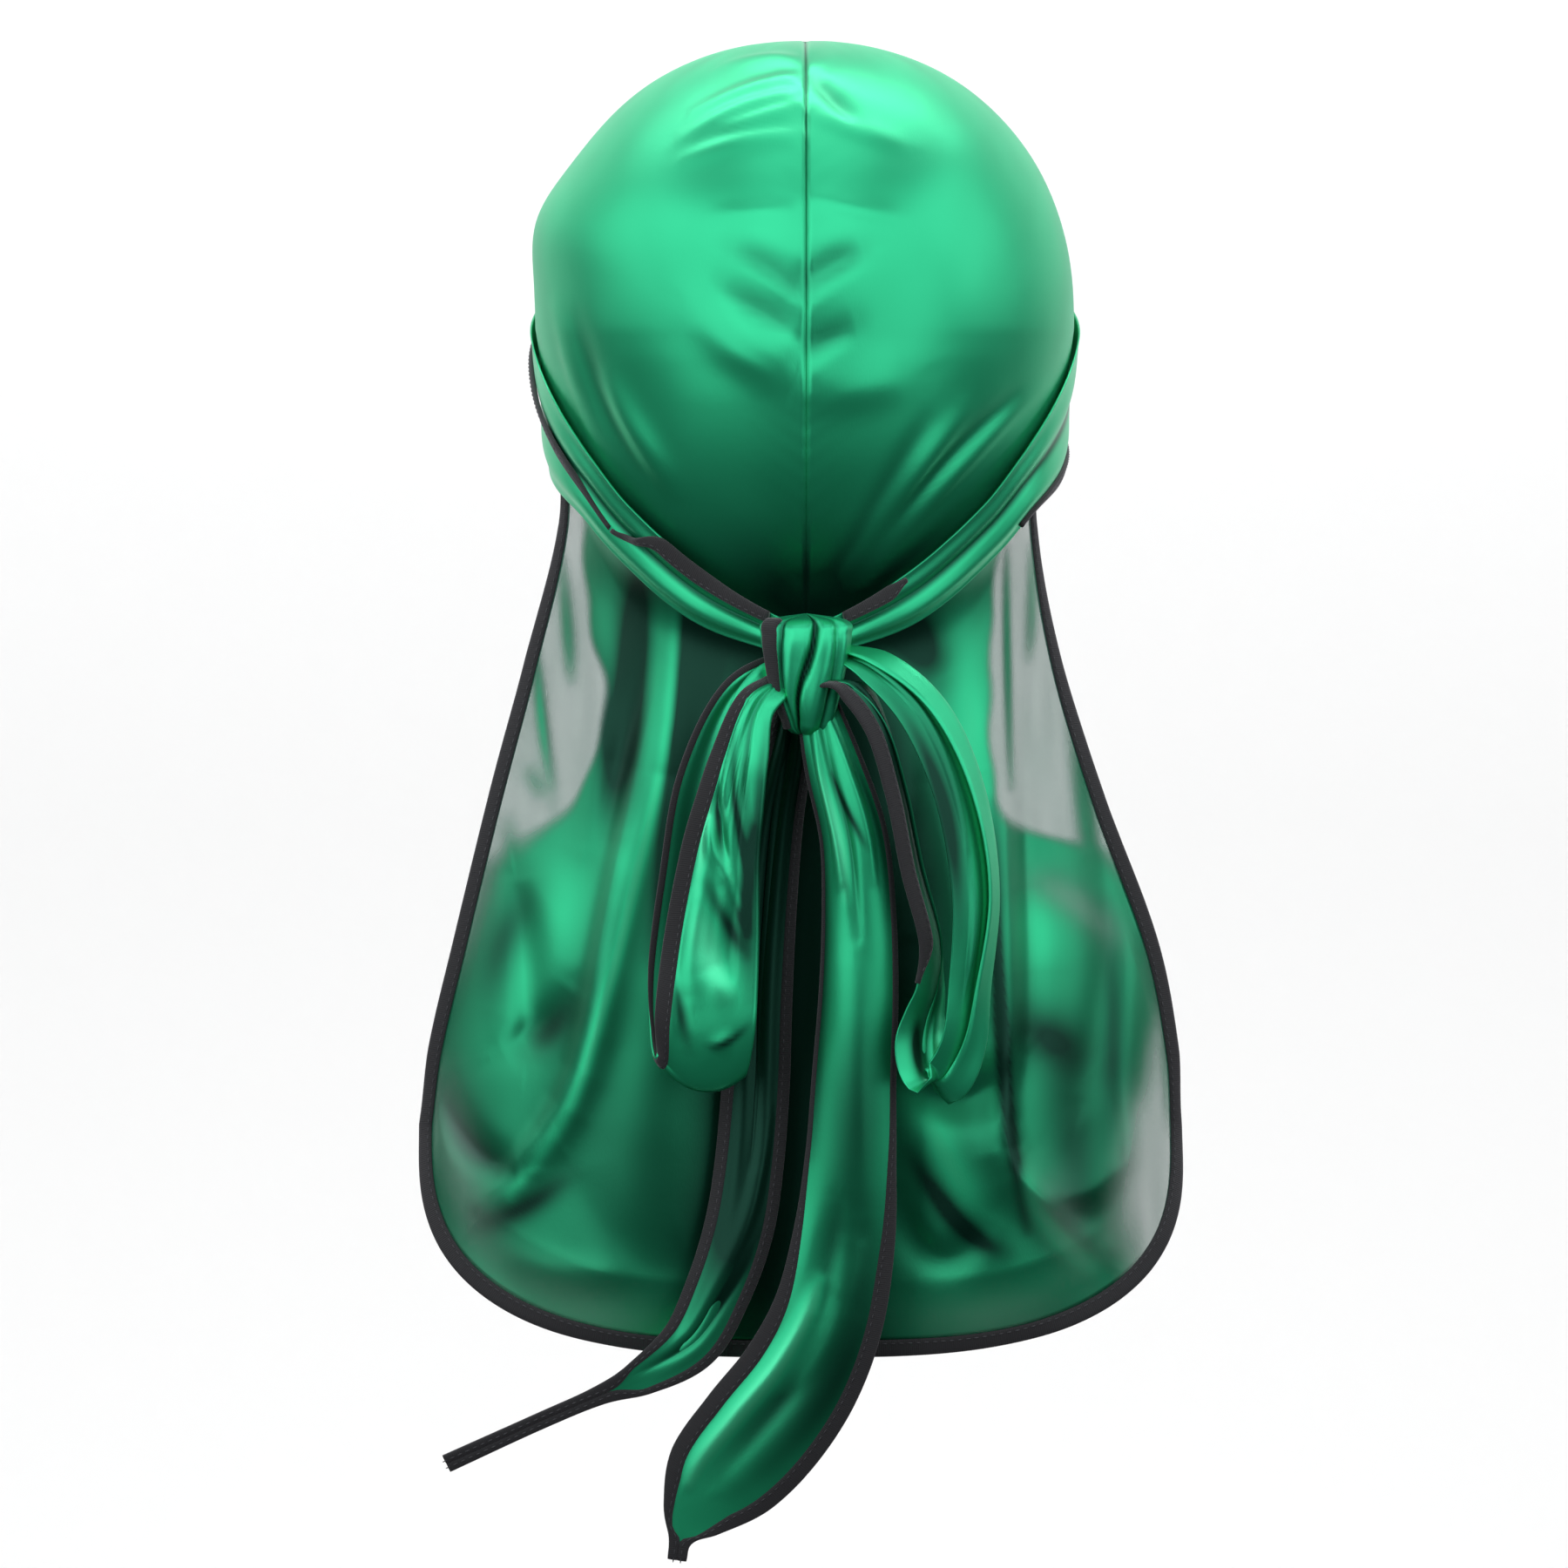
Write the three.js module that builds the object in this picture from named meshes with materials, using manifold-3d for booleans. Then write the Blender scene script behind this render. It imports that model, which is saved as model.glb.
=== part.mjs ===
// A satin durag as it sits on a head: a two-panel crown with a centre seam, a cape that hangs from
// the nape, and two long straps that run round the head and are tied in a bow at the back.
// Millimetres, +Z up. The wearer looks along +Y, +X is the wearer's right, and the origin is the
// point inside the crown that rests on the top of the head.
import * as THREE from "three";
import { mergeVertices } from "three/addons/utils/BufferGeometryUtils.js";
import Module from "manifold-3d";

// Cloth and sewing
const satin_thickness = 1.0;
const binding_thickness = 1.5;
const binding_width = 5.0;
const piece_gap = 0.4; // clear gap between two pieces that are sewn or laid together
const seam_gap = 0.8; // between the crown's rim and the cape sewn to it
const lay_gap = 0.7; // how far a strap lies off the crown and the cape

// The head that the crown is stretched over
const head_half_width = 79.3;
const head_half_length = 97;
const dome_height = 84; // from the top of the head down to its widest level
const dome_fullness = 2.2; // 2 is an ellipse, more is squarer
const shoulder_bulge = 4.0; // the left panel stands this much fuller above the ear
const shoulder_drop = 54;
const shoulder_height = 15;
const neck_slope = 80; // drop per radian of the crown's rows below the widest level

// The crown's lower edge
const rim_drop_front = 62;
const rim_drop_back = 172;

// The cape
const cape_half_width = 109.2; // without its binding
const cape_length = 201; // from the nape down to the middle of the hem
const cape_side_length = 204; // from the rim at the side down to the cape's widest place
const cape_side_azimuth = 80; // degrees from the nape at which the cape's side edges start
const cape_hold = 0.14; // share of the cape that lies close to the head below the rim
const hem_fullness = 2.9;

// The straps, the knot and the bow
const strap_width = 42;
const strap_root_azimuth = 142; // degrees from the nape at which a strap leaves the front edge
const pleat_depth = 3.4;
const steepest_pleat = 0.22; // a pleat's depth is at most this share of the ribbon's half width
const knot_width = 25;
const knot_height = 34;
const knot_depth = 19;
const knot_drop = 181; // from the top of the head to the knot's middle
const knot_set_in = 4; // from the furthest back of the head forwards to the knot's middle
const loop_left_length = 116;
const loop_right_length = 112;
const tail_left_length = 226;
const tail_right_length = 252;

// How finely the cloth is cut into flat faces
const crown_columns = 22;
const crown_rows = 13;
const cape_columns = 30;
const cape_rows = 17;
const knot_columns = 20;
const knot_rows = 12;

// Tables. Every length is a share of the named size that it follows.

// Width and depth of the head below its widest level. drop is a share of rim_drop_back.
const head_sections = [
  { drop: 0.488, width: 1.0, back: 1.0, front: 1.0 },
  { drop: 0.54, width: 0.985, back: 0.998, front: 1.0 },
  { drop: 0.61, width: 0.96, back: 0.985, front: 1.0 },
  { drop: 0.7, width: 0.935, back: 0.95, front: 0.98 },
  { drop: 0.785, width: 0.91, back: 0.895, front: 0.95 },
  { drop: 0.87, width: 0.875, back: 0.83, front: 0.92 },
  { drop: 0.96, width: 0.83, back: 0.77, front: 0.9 },
  { drop: 1.05, width: 0.79, back: 0.73, front: 0.88 },
  { drop: 1.3, width: 0.76, back: 0.7, front: 0.86 },
];

// The rim's height round the head. low is 0 at rim_drop_front and 1 at rim_drop_back.
const rim_course = [
  { azimuth: 0, low: 1.0 },
  { azimuth: 25, low: 0.885 },
  { azimuth: 46, low: 0.71 },
  { azimuth: 57, low: 0.605 },
  { azimuth: 72, low: 0.5 },
  { azimuth: 90, low: 0.4 },
  { azimuth: 120, low: 0.235 },
  { azimuth: 150, low: 0.08 },
  { azimuth: 180, low: 0.0 },
];

// The cape from the rim, down 0, to the hem, down 1. left and right are shares of cape_half_width,
// side_back and middle_back, how far back its sides and its middle hang, of head_half_length.
const cape_sections = [
  { down: 0, left: 0.655, right: 0.625, side_back: 0.03, middle_back: 0.73 },
  { down: 0.15, left: 0.646, right: 0.612, side_back: 0.083, middle_back: 0.752 },
  { down: 0.35, left: 0.727, right: 0.667, side_back: 0.186, middle_back: 0.773 },
  { down: 0.55, left: 0.822, right: 0.776, side_back: 0.32, middle_back: 0.81 },
  { down: 0.75, left: 0.911, right: 0.912, side_back: 0.42, middle_back: 0.845 },
  { down: 0.9, left: 0.976, right: 0.967, side_back: 0.475, middle_back: 0.876 },
  { down: 1, left: 1.0, right: 0.977, side_back: 0.5, middle_back: 0.887 },
];

// Folds of the crown as seen from behind: a bend from 0 over 1 to 2. across is a share of
// head_half_width, drop of rim_drop_back, width of head_half_width and rise of pleat_depth.
const crown_folds = [
  { across0: -0.03, drop0: 0.43, across1: -0.22, drop1: 0.4, across2: -0.5, drop2: 0.3, width: 0.09, rise: 0.35 },
  { across0: -0.03, drop0: 0.52, across1: -0.2, drop1: 0.47, across2: -0.42, drop2: 0.38, width: 0.07, rise: -0.5 },
  { across0: -0.03, drop0: 0.6, across1: -0.3, drop1: 0.57, across2: -0.56, drop2: 0.43, width: 0.1, rise: 0.55 },
  { across0: 0.03, drop0: 0.43, across1: 0.18, drop1: 0.39, across2: 0.4, drop2: 0.33, width: 0.08, rise: -0.4 },
  { across0: 0.03, drop0: 0.53, across1: 0.16, drop1: 0.48, across2: 0.36, drop2: 0.42, width: 0.07, rise: -0.4 },
  { across0: 0.03, drop0: 0.58, across1: 0.3, drop1: 0.56, across2: 0.56, drop2: 0.45, width: 0.1, rise: 0.4 },
  { across0: -0.02, drop0: 0.1, across1: -0.2, drop1: 0.1, across2: -0.5, drop2: 0.18, width: 0.06, rise: 0.3 },
  { across0: -0.02, drop0: 0.19, across1: -0.25, drop1: 0.19, across2: -0.5, drop2: 0.26, width: 0.06, rise: 0.3 },
];

// Folds of the cape on its own rows and columns: column is -1 at the left edge and 1 at the right
// edge, down 0 at the rim and 1 at the hem. width and rise are shares of cape_half_width.
const cape_folds = [
  { column0: -0.42, down0: 0.25, column1: -0.48, down1: 0.6, column2: -0.52, down2: 1.1, width: 0.26, rise: 0.1 },
  { column0: 0.45, down0: 0.25, column1: 0.5, down1: 0.6, column2: 0.54, down2: 1.1, width: 0.26, rise: 0.1 },
  { column0: -0.36, down0: 0.1, column1: -0.52, down1: 0.5, column2: -0.74, down2: 0.86, width: 0.075, rise: 0.05 },
  { column0: -0.58, down0: 0.12, column1: -0.6, down1: 0.35, column2: -0.62, down2: 0.55, width: 0.08, rise: -0.05 },
  { column0: -0.26, down0: 0.35, column1: -0.3, down1: 0.65, column2: -0.38, down2: 0.9, width: 0.09, rise: -0.045 },
  { column0: -0.84, down0: 0.1, column1: -0.83, down1: 0.4, column2: -0.85, down2: 0.66, width: 0.07, rise: -0.035 },
  { column0: 0.34, down0: 0.1, column1: 0.4, down1: 0.5, column2: 0.5, down2: 0.9, width: 0.08, rise: 0.04 },
  { column0: 0.62, down0: 0.12, column1: 0.62, down1: 0.55, column2: 0.86, down2: 0.9, width: 0.075, rise: -0.05 },
  { column0: 0.26, down0: 0.5, column1: 0.3, down1: 0.7, column2: 0.42, down2: 0.9, width: 0.08, rise: -0.04 },
  { column0: 0.84, down0: 0.1, column1: 0.82, down1: 0.45, column2: 0.83, down2: 0.7, width: 0.07, rise: -0.035 },
];

// A strap from its root at the front edge to the knot. width is a share of strap_width, shift of
// strap_width up from the rim, pleat of pleat_depth, and away how far it stands off on its way into
// the knot, a share of knot_depth.
const strap_sections = [
  { azimuth: 142, width: 0.5, shift: 0.0, pleat: 0.0, away: 0.0 },
  { azimuth: 128, width: 0.74, shift: 0.0, pleat: 0.1, away: 0.0 },
  { azimuth: 110, width: 0.88, shift: 0.0, pleat: 0.2, away: 0.0 },
  { azimuth: 90, width: 0.86, shift: 0.02, pleat: 0.35, away: 0.0 },
  { azimuth: 72, width: 0.7, shift: 0.0, pleat: 0.6, away: 0.0 },
  { azimuth: 57, width: 0.52, shift: 0.0, pleat: 0.8, away: 0.0 },
  { azimuth: 40, width: 0.44, shift: 0.0, pleat: 0.9, away: 0.03 },
  { azimuth: 24, width: 0.38, shift: 0.0, pleat: 1.0, away: 0.2 },
  { azimuth: 12, width: 0.28, shift: 0.0, pleat: 1.0, away: 0.6 },
  { azimuth: 5, width: 0.24, shift: 0.0, pleat: 0.8, away: 0.85 },
];

// Binding tape that shows on the straps, from start to end as shares of strap_root_azimuth. place0
// and place1 are where it lies across the strap there, 1 at its upper and -1 at its lower edge.
const strap_tapes = [
  { name: "strap_left_tape_upper", side: -1, start: 0.331, end: 0.063, place0: 0.85, place1: 0.75 },
  { name: "strap_left_tape_outer", side: -1, start: 0.859, end: 0.338, place0: 0.8, place1: -0.3 },
  { name: "strap_right_tape_upper", side: 1, start: 0.176, end: 0.063, place0: 0.85, place1: 0.75 },
  { name: "strap_right_tape_outer", side: 1, start: 0.831, end: 0.366, place0: -0.85, place1: -0.8 },
];

// The bow's loops and the tails, from the knot outwards. across, down and out are shares of the
// ribbon's own length, measured from the knot's middle: to the wearer's right, downwards and
// backwards. turn is the ribbon's turn in degrees, 0 facing backwards, width a share of
// strap_width and pleat of pleat_depth.
const loop_left_course = [
  { across: -0.04, down: 0.0, out: 0.02, turn: 10, width: 0.2, pleat: 0.8 },
  { across: -0.12, down: 0.06, out: 0.1, turn: 10, width: 0.28, pleat: 0.9 },
  { across: -0.165, down: 0.19, out: 0.14, turn: 0, width: 0.38, pleat: 0.9 },
  { across: -0.19, down: 0.31, out: 0.155, turn: -4, width: 0.44, pleat: 0.8 },
  { across: -0.212, down: 0.44, out: 0.165, turn: -6, width: 0.51, pleat: 0.7 },
  { across: -0.23, down: 0.64, out: 0.175, turn: -8, width: 0.66, pleat: 0.5 },
  { across: -0.246, down: 0.86, out: 0.175, turn: -6, width: 0.72, pleat: 0.25 },
  { across: -0.258, down: 0.985, out: 0.135, turn: -4, width: 0.68, pleat: 0.0 },
  { across: -0.27, down: 0.95, out: 0.08, turn: -4, width: 0.66, pleat: 0.1 },
  { across: -0.27, down: 0.75, out: 0.055, turn: -4, width: 0.62, pleat: 0.2 },
  { across: -0.25, down: 0.5, out: 0.05, turn: 0, width: 0.52, pleat: 0.3 },
  { across: -0.215, down: 0.26, out: 0.045, turn: 6, width: 0.42, pleat: 0.4 },
  { across: -0.15, down: 0.07, out: 0.02, turn: 14, width: 0.3, pleat: 0.5 },
  { across: -0.04, down: -0.02, out: -0.03, turn: 14, width: 0.2, pleat: 0.5 },
];
const loop_right_course = [
  { across: 0.03, down: 0.02, out: 0.04, turn: 20, width: 0.2, pleat: 0.4 },
  { across: 0.13, down: 0.05, out: 0.08, turn: 40, width: 0.3, pleat: 0.4 },
  { across: 0.2, down: 0.13, out: 0.1, turn: 52, width: 0.36, pleat: 0.5 },
  { across: 0.235, down: 0.29, out: 0.105, turn: 58, width: 0.42, pleat: 0.5 },
  { across: 0.262, down: 0.48, out: 0.105, turn: 58, width: 0.46, pleat: 0.4 },
  { across: 0.315, down: 0.64, out: 0.1, turn: 56, width: 0.48, pleat: 0.3 },
  { across: 0.35, down: 0.79, out: 0.1, turn: 54, width: 0.5, pleat: 0.2 },
  { across: 0.355, down: 0.92, out: 0.11, turn: 52, width: 0.52, pleat: 0.05 },
  { across: 0.385, down: 0.98, out: 0.13, turn: 50, width: 0.54, pleat: 0.0 },
  { across: 0.418, down: 0.92, out: 0.15, turn: 46, width: 0.56, pleat: 0.05 },
  { across: 0.43, down: 0.76, out: 0.155, turn: 42, width: 0.56, pleat: 0.2 },
  { across: 0.408, down: 0.52, out: 0.145, turn: 38, width: 0.54, pleat: 0.3 },
  { across: 0.365, down: 0.29, out: 0.125, turn: 32, width: 0.48, pleat: 0.4 },
  { across: 0.28, down: 0.09, out: 0.09, turn: 24, width: 0.38, pleat: 0.4 },
  { across: 0.17, down: -0.03, out: 0.04, turn: 16, width: 0.28, pleat: 0.4 },
  { across: 0.03, down: -0.06, out: -0.03, turn: 10, width: 0.2, pleat: 0.5 },
];
const tail_left_course = [
  { across: -0.01, down: 0.03, out: -0.02, turn: 0, width: 0.24, pleat: 0.6 },
  { across: -0.022, down: 0.1, out: -0.022, turn: 6, width: 0.34, pleat: 0.6 },
  { across: -0.039, down: 0.19, out: -0.026, turn: 8, width: 0.4, pleat: 0.55 },
  { across: -0.05, down: 0.3, out: -0.026, turn: 8, width: 0.42, pleat: 0.5 },
  { across: -0.058, down: 0.41, out: -0.02, turn: 6, width: 0.44, pleat: 0.45 },
  { across: -0.063, down: 0.52, out: -0.012, turn: 4, width: 0.46, pleat: 0.4 },
  { across: -0.072, down: 0.62, out: 0.0, turn: 0, width: 0.48, pleat: 0.4 },
  { across: -0.085, down: 0.7, out: 0.012, turn: 0, width: 0.48, pleat: 0.35 },
  { across: -0.11, down: 0.775, out: 0.02, turn: 0, width: 0.45, pleat: 0.3 },
  { across: -0.145, down: 0.842, out: 0.024, turn: 0, width: 0.4, pleat: 0.2 },
  { across: -0.205, down: 0.885, out: 0.024, turn: 0, width: 0.27, pleat: 0.1 },
  { across: -0.262, down: 0.911, out: 0.02, turn: 0, width: 0.14, pleat: 0.0 },
  { across: -0.34, down: 0.946, out: 0.016, turn: 0, width: 0.12, pleat: 0.0 },
  { across: -0.455, down: 1.0, out: 0.01, turn: 0, width: 0.13, pleat: 0.0 },
];
const tail_right_course = [
  { across: 0.012, down: 0.03, out: 0.015, turn: 0, width: 0.26, pleat: 0.8 },
  { across: 0.03, down: 0.1, out: 0.03, turn: -6, width: 0.4, pleat: 0.8 },
  { across: 0.05, down: 0.18, out: 0.04, turn: -10, width: 0.47, pleat: 0.6 },
  { across: 0.056, down: 0.27, out: 0.044, turn: -10, width: 0.5, pleat: 0.5 },
  { across: 0.056, down: 0.36, out: 0.048, turn: -8, width: 0.53, pleat: 0.45 },
  { across: 0.052, down: 0.45, out: 0.05, turn: -6, width: 0.56, pleat: 0.45 },
  { across: 0.049, down: 0.54, out: 0.052, turn: -4, width: 0.61, pleat: 0.4 },
  { across: 0.043, down: 0.63, out: 0.052, turn: 0, width: 0.69, pleat: 0.4 },
  { across: 0.025, down: 0.72, out: 0.052, turn: 0, width: 0.76, pleat: 0.3 },
  { across: -0.008, down: 0.795, out: 0.05, turn: 0, width: 0.84, pleat: 0.25 },
  { across: -0.054, down: 0.858, out: 0.048, turn: 0, width: 0.88, pleat: 0.2 },
  { across: -0.1, down: 0.91, out: 0.046, turn: 0, width: 0.78, pleat: 0.15 },
  { across: -0.13, down: 0.952, out: 0.044, turn: 0, width: 0.44, pleat: 0.0 },
  { across: -0.142, down: 0.977, out: 0.044, turn: 0, width: 0.17, pleat: 0.0 },
  { across: -0.146, down: 1.0, out: 0.044, turn: 0, width: 0.13, pleat: 0.0 },
];

// The knot from its top, high 1, to its bottom, high -1. Width and depth are shares of the knot's
// own, and lean of knot_width to the wearer's right.
const knot_sections = [
  { high: -1.0, width: 0.0, depth: 0.0, lean: 0.02 },
  { high: -0.94, width: 0.42, depth: 0.5, lean: 0.02 },
  { high: -0.7, width: 0.6, depth: 0.78, lean: 0.02 },
  { high: -0.3, width: 0.76, depth: 0.95, lean: 0.0 },
  { high: 0.2, width: 0.9, depth: 1.0, lean: 0.0 },
  { high: 0.65, width: 1.0, depth: 0.92, lean: 0.0 },
  { high: 0.9, width: 0.88, depth: 0.62, lean: 0.0 },
  { high: 1.0, width: 0.0, depth: 0.0, lean: 0.0 },
];

// Cloth colours
const satin_green = new THREE.MeshStandardMaterial({ color: 0x129455, roughness: 0.35, metalness: 0.3 });
const binding_black = new THREE.MeshStandardMaterial({ color: 0x1c2024, roughness: 0.75, metalness: 0 });

const vector = (x, y, z) => new THREE.Vector3(x, y, z);
const mix = (a, b, share) => a + (b - a) * share;
const radians = THREE.MathUtils.degToRad;
const clamp = THREE.MathUtils.clamp;

// A smooth value of one column of a table at a place along another column.
function along(table, key, column, place) {
  const last = table.length - 1;
  const rising = table[last][key] > table[0][key] ? 1 : -1;
  const at = clamp(place * rising, table[0][key] * rising, table[last][key] * rising) * rising;
  let i = 0;
  while (i < last - 1 && (table[i + 1][key] - at) * rising < 0) i += 1;
  const slope = (j) => {
    const low = table[Math.max(j - 1, 0)];
    const high = table[Math.min(j + 1, last)];
    return (high[column] - low[column]) / (high[key] - low[key]);
  };
  const step = table[i + 1][key] - table[i][key];
  const t = (at - table[i][key]) / step;
  const a = table[i][column];
  const b = table[i + 1][column];
  const hermite = (2 * t ** 3 - 3 * t ** 2 + 1) * a + (3 * t ** 2 - 2 * t ** 3) * b;
  return hermite + (t ** 3 - 2 * t ** 2 + t) * step * slope(i) + (t ** 3 - t ** 2) * step * slope(i + 1);
}

// Half width and half length of the head at a height below its top.
function headSection(drop) {
  if (drop <= dome_height) {
    const rise = clamp((dome_height - drop) / dome_height, 0, 1);
    const spread = (1 - rise ** dome_fullness) ** (1 / dome_fullness);
    return { width: head_half_width * spread, back: head_half_length * spread, front: head_half_length * spread };
  }
  const share = (drop - dome_height) / (rim_drop_back - dome_height);
  const place = mix(head_sections[0].drop, 1, share);
  return {
    width: head_half_width * along(head_sections, "drop", "width", place),
    back: head_half_length * along(head_sections, "drop", "back", place),
    front: head_half_length * along(head_sections, "drop", "front", place),
  };
}

// A point on the head. The azimuth is in degrees, 0 at the nape and positive to the wearer's right.
function headPoint(azimuth, drop, lift = 0) {
  const section = headSection(drop);
  const turn = radians(azimuth);
  const length = Math.cos(turn) > 0 ? section.back : section.front;
  const point = vector(section.width * Math.sin(turn), -length * Math.cos(turn), -drop);
  if (lift === 0) return point;
  return point.addScaledVector(headNormal(azimuth, drop), lift);
}

function headNormal(azimuth, drop) {
  const step = 0.5;
  const low = headPoint(azimuth, drop + step).sub(headPoint(azimuth, Math.max(drop - step, 0.01)));
  const round = headPoint(azimuth + step, drop).sub(headPoint(azimuth - step, drop));
  return low.cross(round).normalize();
}

function rimDrop(azimuth) {
  const low = along(rim_course, "azimuth", "low", Math.abs(azimuth));
  return mix(rim_drop_front, rim_drop_back, low);
}

// How far a bent fold lifts the cloth at a place, both given in millimetres in one flat view.
function foldRise(fold, x, z) {
  const steps = 12;
  let nearest = Infinity;
  let share = 0;
  for (let i = 0; i <= steps; i += 1) {
    const t = i / steps;
    const bend = (a, b, c) => (1 - t) ** 2 * a + 2 * t * (1 - t) * b + t ** 2 * c;
    const away = Math.hypot(x - bend(fold.x0, fold.x1, fold.x2), z - bend(fold.z0, fold.z1, fold.z2));
    if (away < nearest) {
      nearest = away;
      share = t;
    }
  }
  return fold.rise * Math.exp(-((nearest / fold.width) ** 2)) * Math.sin(Math.PI * mix(0.12, 0.88, share));
}

// A closed solid between two grids of points of the same size. Points that coincide are merged.
function solidBetween(outer, inner) {
  const rows = outer.length;
  const columns = outer[0].length;
  const points = [...outer.flat(), ...inner.flat()];
  const place = (layer, i, j) => layer * rows * columns + i * columns + j;
  const faces = [];
  const quad = (a, b, c, d) => faces.push(a, b, c, a, c, d);
  for (let i = 0; i < rows - 1; i += 1)
    for (let j = 0; j < columns - 1; j += 1) {
      quad(place(0, i, j), place(0, i + 1, j), place(0, i + 1, j + 1), place(0, i, j + 1));
      quad(place(1, i, j), place(1, i, j + 1), place(1, i + 1, j + 1), place(1, i + 1, j));
    }
  for (let i = 0; i < rows - 1; i += 1) {
    quad(place(0, i, 0), place(1, i, 0), place(1, i + 1, 0), place(0, i + 1, 0));
    const end = columns - 1;
    quad(place(0, i, end), place(0, i + 1, end), place(1, i + 1, end), place(1, i, end));
  }
  for (let j = 0; j < columns - 1; j += 1) {
    quad(place(0, 0, j), place(0, 0, j + 1), place(1, 0, j + 1), place(1, 0, j));
    const end = rows - 1;
    quad(place(0, end, j), place(1, end, j), place(1, end, j + 1), place(0, end, j + 1));
  }
  const flat = points.flatMap((p) => [p.x, p.y, p.z]);
  const open = new THREE.BufferGeometry().setAttribute("position", new THREE.Float32BufferAttribute(flat, 3));
  open.setIndex(faces);
  const merged = mergeVertices(open, 1e-3);
  const kept = [];
  for (let k = 0; k < merged.index.count; k += 3) {
    const [a, b, c] = [0, 1, 2].map((n) => merged.index.getX(k + n));
    if (a !== b && b !== c && c !== a) kept.push(a, b, c);
  }
  merged.setIndex(kept);
  return facedOutwards(merged);
}

// The same solid with every face turned outwards, whichever way its grids ran.
function facedOutwards(geometry) {
  const place = geometry.attributes.position;
  const corner = (k) => vector().fromBufferAttribute(place, geometry.index.getX(k));
  let volume = 0;
  for (let k = 0; k < geometry.index.count; k += 3) volume += corner(k).dot(corner(k + 1).cross(corner(k + 2)));
  if (volume < 0) geometry.index.array.reverse();
  return geometry;
}

// Normals of a grid of points, from its neighbours along rows and columns.
function gridNormals(grid) {
  const rows = grid.length;
  const columns = grid[0].length;
  return grid.map((row, i) =>
    row.map((point, j) => {
      const down = grid[Math.min(i + 1, rows - 1)][j].clone().sub(grid[Math.max(i - 1, 0)][j]);
      const right = row[Math.min(j + 1, columns - 1)].clone().sub(row[Math.max(j - 1, 0)]);
      return down.cross(right).normalize();
    }),
  );
}

// A wall of cloth: the grid is its middle, and half of it lies to each side.
function clothSolid(grid, thickness, normals = gridNormals(grid)) {
  const shifted = (reach) =>
    grid.map((row, i) => row.map((point, j) => point.clone().addScaledVector(normals[i][j], reach)));
  return solidBetween(shifted(thickness / 2), shifted(-thickness / 2));
}

function piece(name, geometry, material) {
  const mesh = new THREE.Mesh(geometry, material);
  mesh.name = name;
  return mesh;
}

// Crown: two panels, from the pole at the top of the head down to the rim, with a seam between them.
const crown_fold_lines = crown_folds.map((fold) => ({
  x0: fold.across0 * head_half_width,
  x1: fold.across1 * head_half_width,
  x2: fold.across2 * head_half_width,
  z0: -fold.drop0 * rim_drop_back,
  z1: -fold.drop1 * rim_drop_back,
  z2: -fold.drop2 * rim_drop_back,
  width: fold.width * head_half_width,
  rise: fold.rise * pleat_depth,
}));

function crownDrop(azimuth, share) {
  const rim = rimDrop(azimuth);
  const level = clamp((dome_height - rim) / dome_height, 0, 1);
  const below = Math.max(rim - dome_height, 0) / neck_slope;
  const angle = share * (Math.acos(level ** (dome_fullness / 2)) + below);
  if (angle > Math.PI / 2) return dome_height + (angle - Math.PI / 2) * neck_slope;
  return dome_height * (1 - Math.cos(angle) ** (2 / dome_fullness));
}

function crownPanel(side) {
  const inner = [];
  const outer = [];
  for (let i = 0; i <= crown_rows; i += 1) {
    inner.push([]);
    outer.push([]);
    for (let j = 0; j <= crown_columns; j += 1) {
      const azimuth = (180 * j) / crown_columns;
      const drop = crownDrop(azimuth, i / crown_rows);
      const seat = headPoint(azimuth * side, drop);
      const normal = i === 0 ? vector(0, 0, 1) : headNormal(azimuth, drop);
      normal.x *= i === 0 ? 1 : side;
      const behind = clamp(-seat.y / (head_half_length * 0.25), 0, 1);
      const near_rim = clamp((rimDrop(azimuth) - drop) / (strap_width * 0.8), 0, 1);
      const folds = crown_fold_lines.reduce((sum, fold) => sum + foldRise(fold, seat.x, seat.z), 0);
      const shoulder = side < 0 ? shoulder_bulge * Math.sin(radians(azimuth)) ** 2 : 0;
      const bulge = shoulder * Math.exp(-(((drop - shoulder_drop) / shoulder_height) ** 2));
      const lifted = seat.clone().addScaledVector(normal, (bulge + folds * behind) * near_rim);
      const skin = lifted.clone().addScaledVector(normal, satin_thickness);
      for (const point of [lifted, skin]) {
        if (i === 0 || j === 0 || j === crown_columns) point.x = 0;
        point.x = side * Math.max(Math.abs(point.x), piece_gap / 2);
      }
      inner[i].push(lifted);
      outer[i].push(skin);
    }
  }
  return solidBetween(outer, inner);
}

// Binding tape round the crown's front edge, from one strap's root to the other's.
function frontBinding() {
  const steps = 30;
  const reach = 180 - strap_root_azimuth + 22;
  const sections = [];
  for (let i = 0; i <= steps; i += 1) {
    const azimuth = 180 + mix(-reach, reach, i / steps);
    const wrapped = azimuth > 180 ? azimuth - 360 : azimuth;
    const rim = rimDrop(wrapped);
    sections.push([rim + piece_gap, rim + piece_gap + binding_width].map((drop) => ({ wrapped, drop })));
  }
  const middle = sections.map((row) =>
    row.map(({ wrapped, drop }) => headPoint(wrapped, drop, satin_thickness / 2)),
  );
  return clothSolid(middle, binding_thickness);
}

// Cape: its middle surface at a column, -1 to 1, and a share of the way down, 0 to 1.
const cape_side_drop = rimDrop(cape_side_azimuth);

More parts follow.
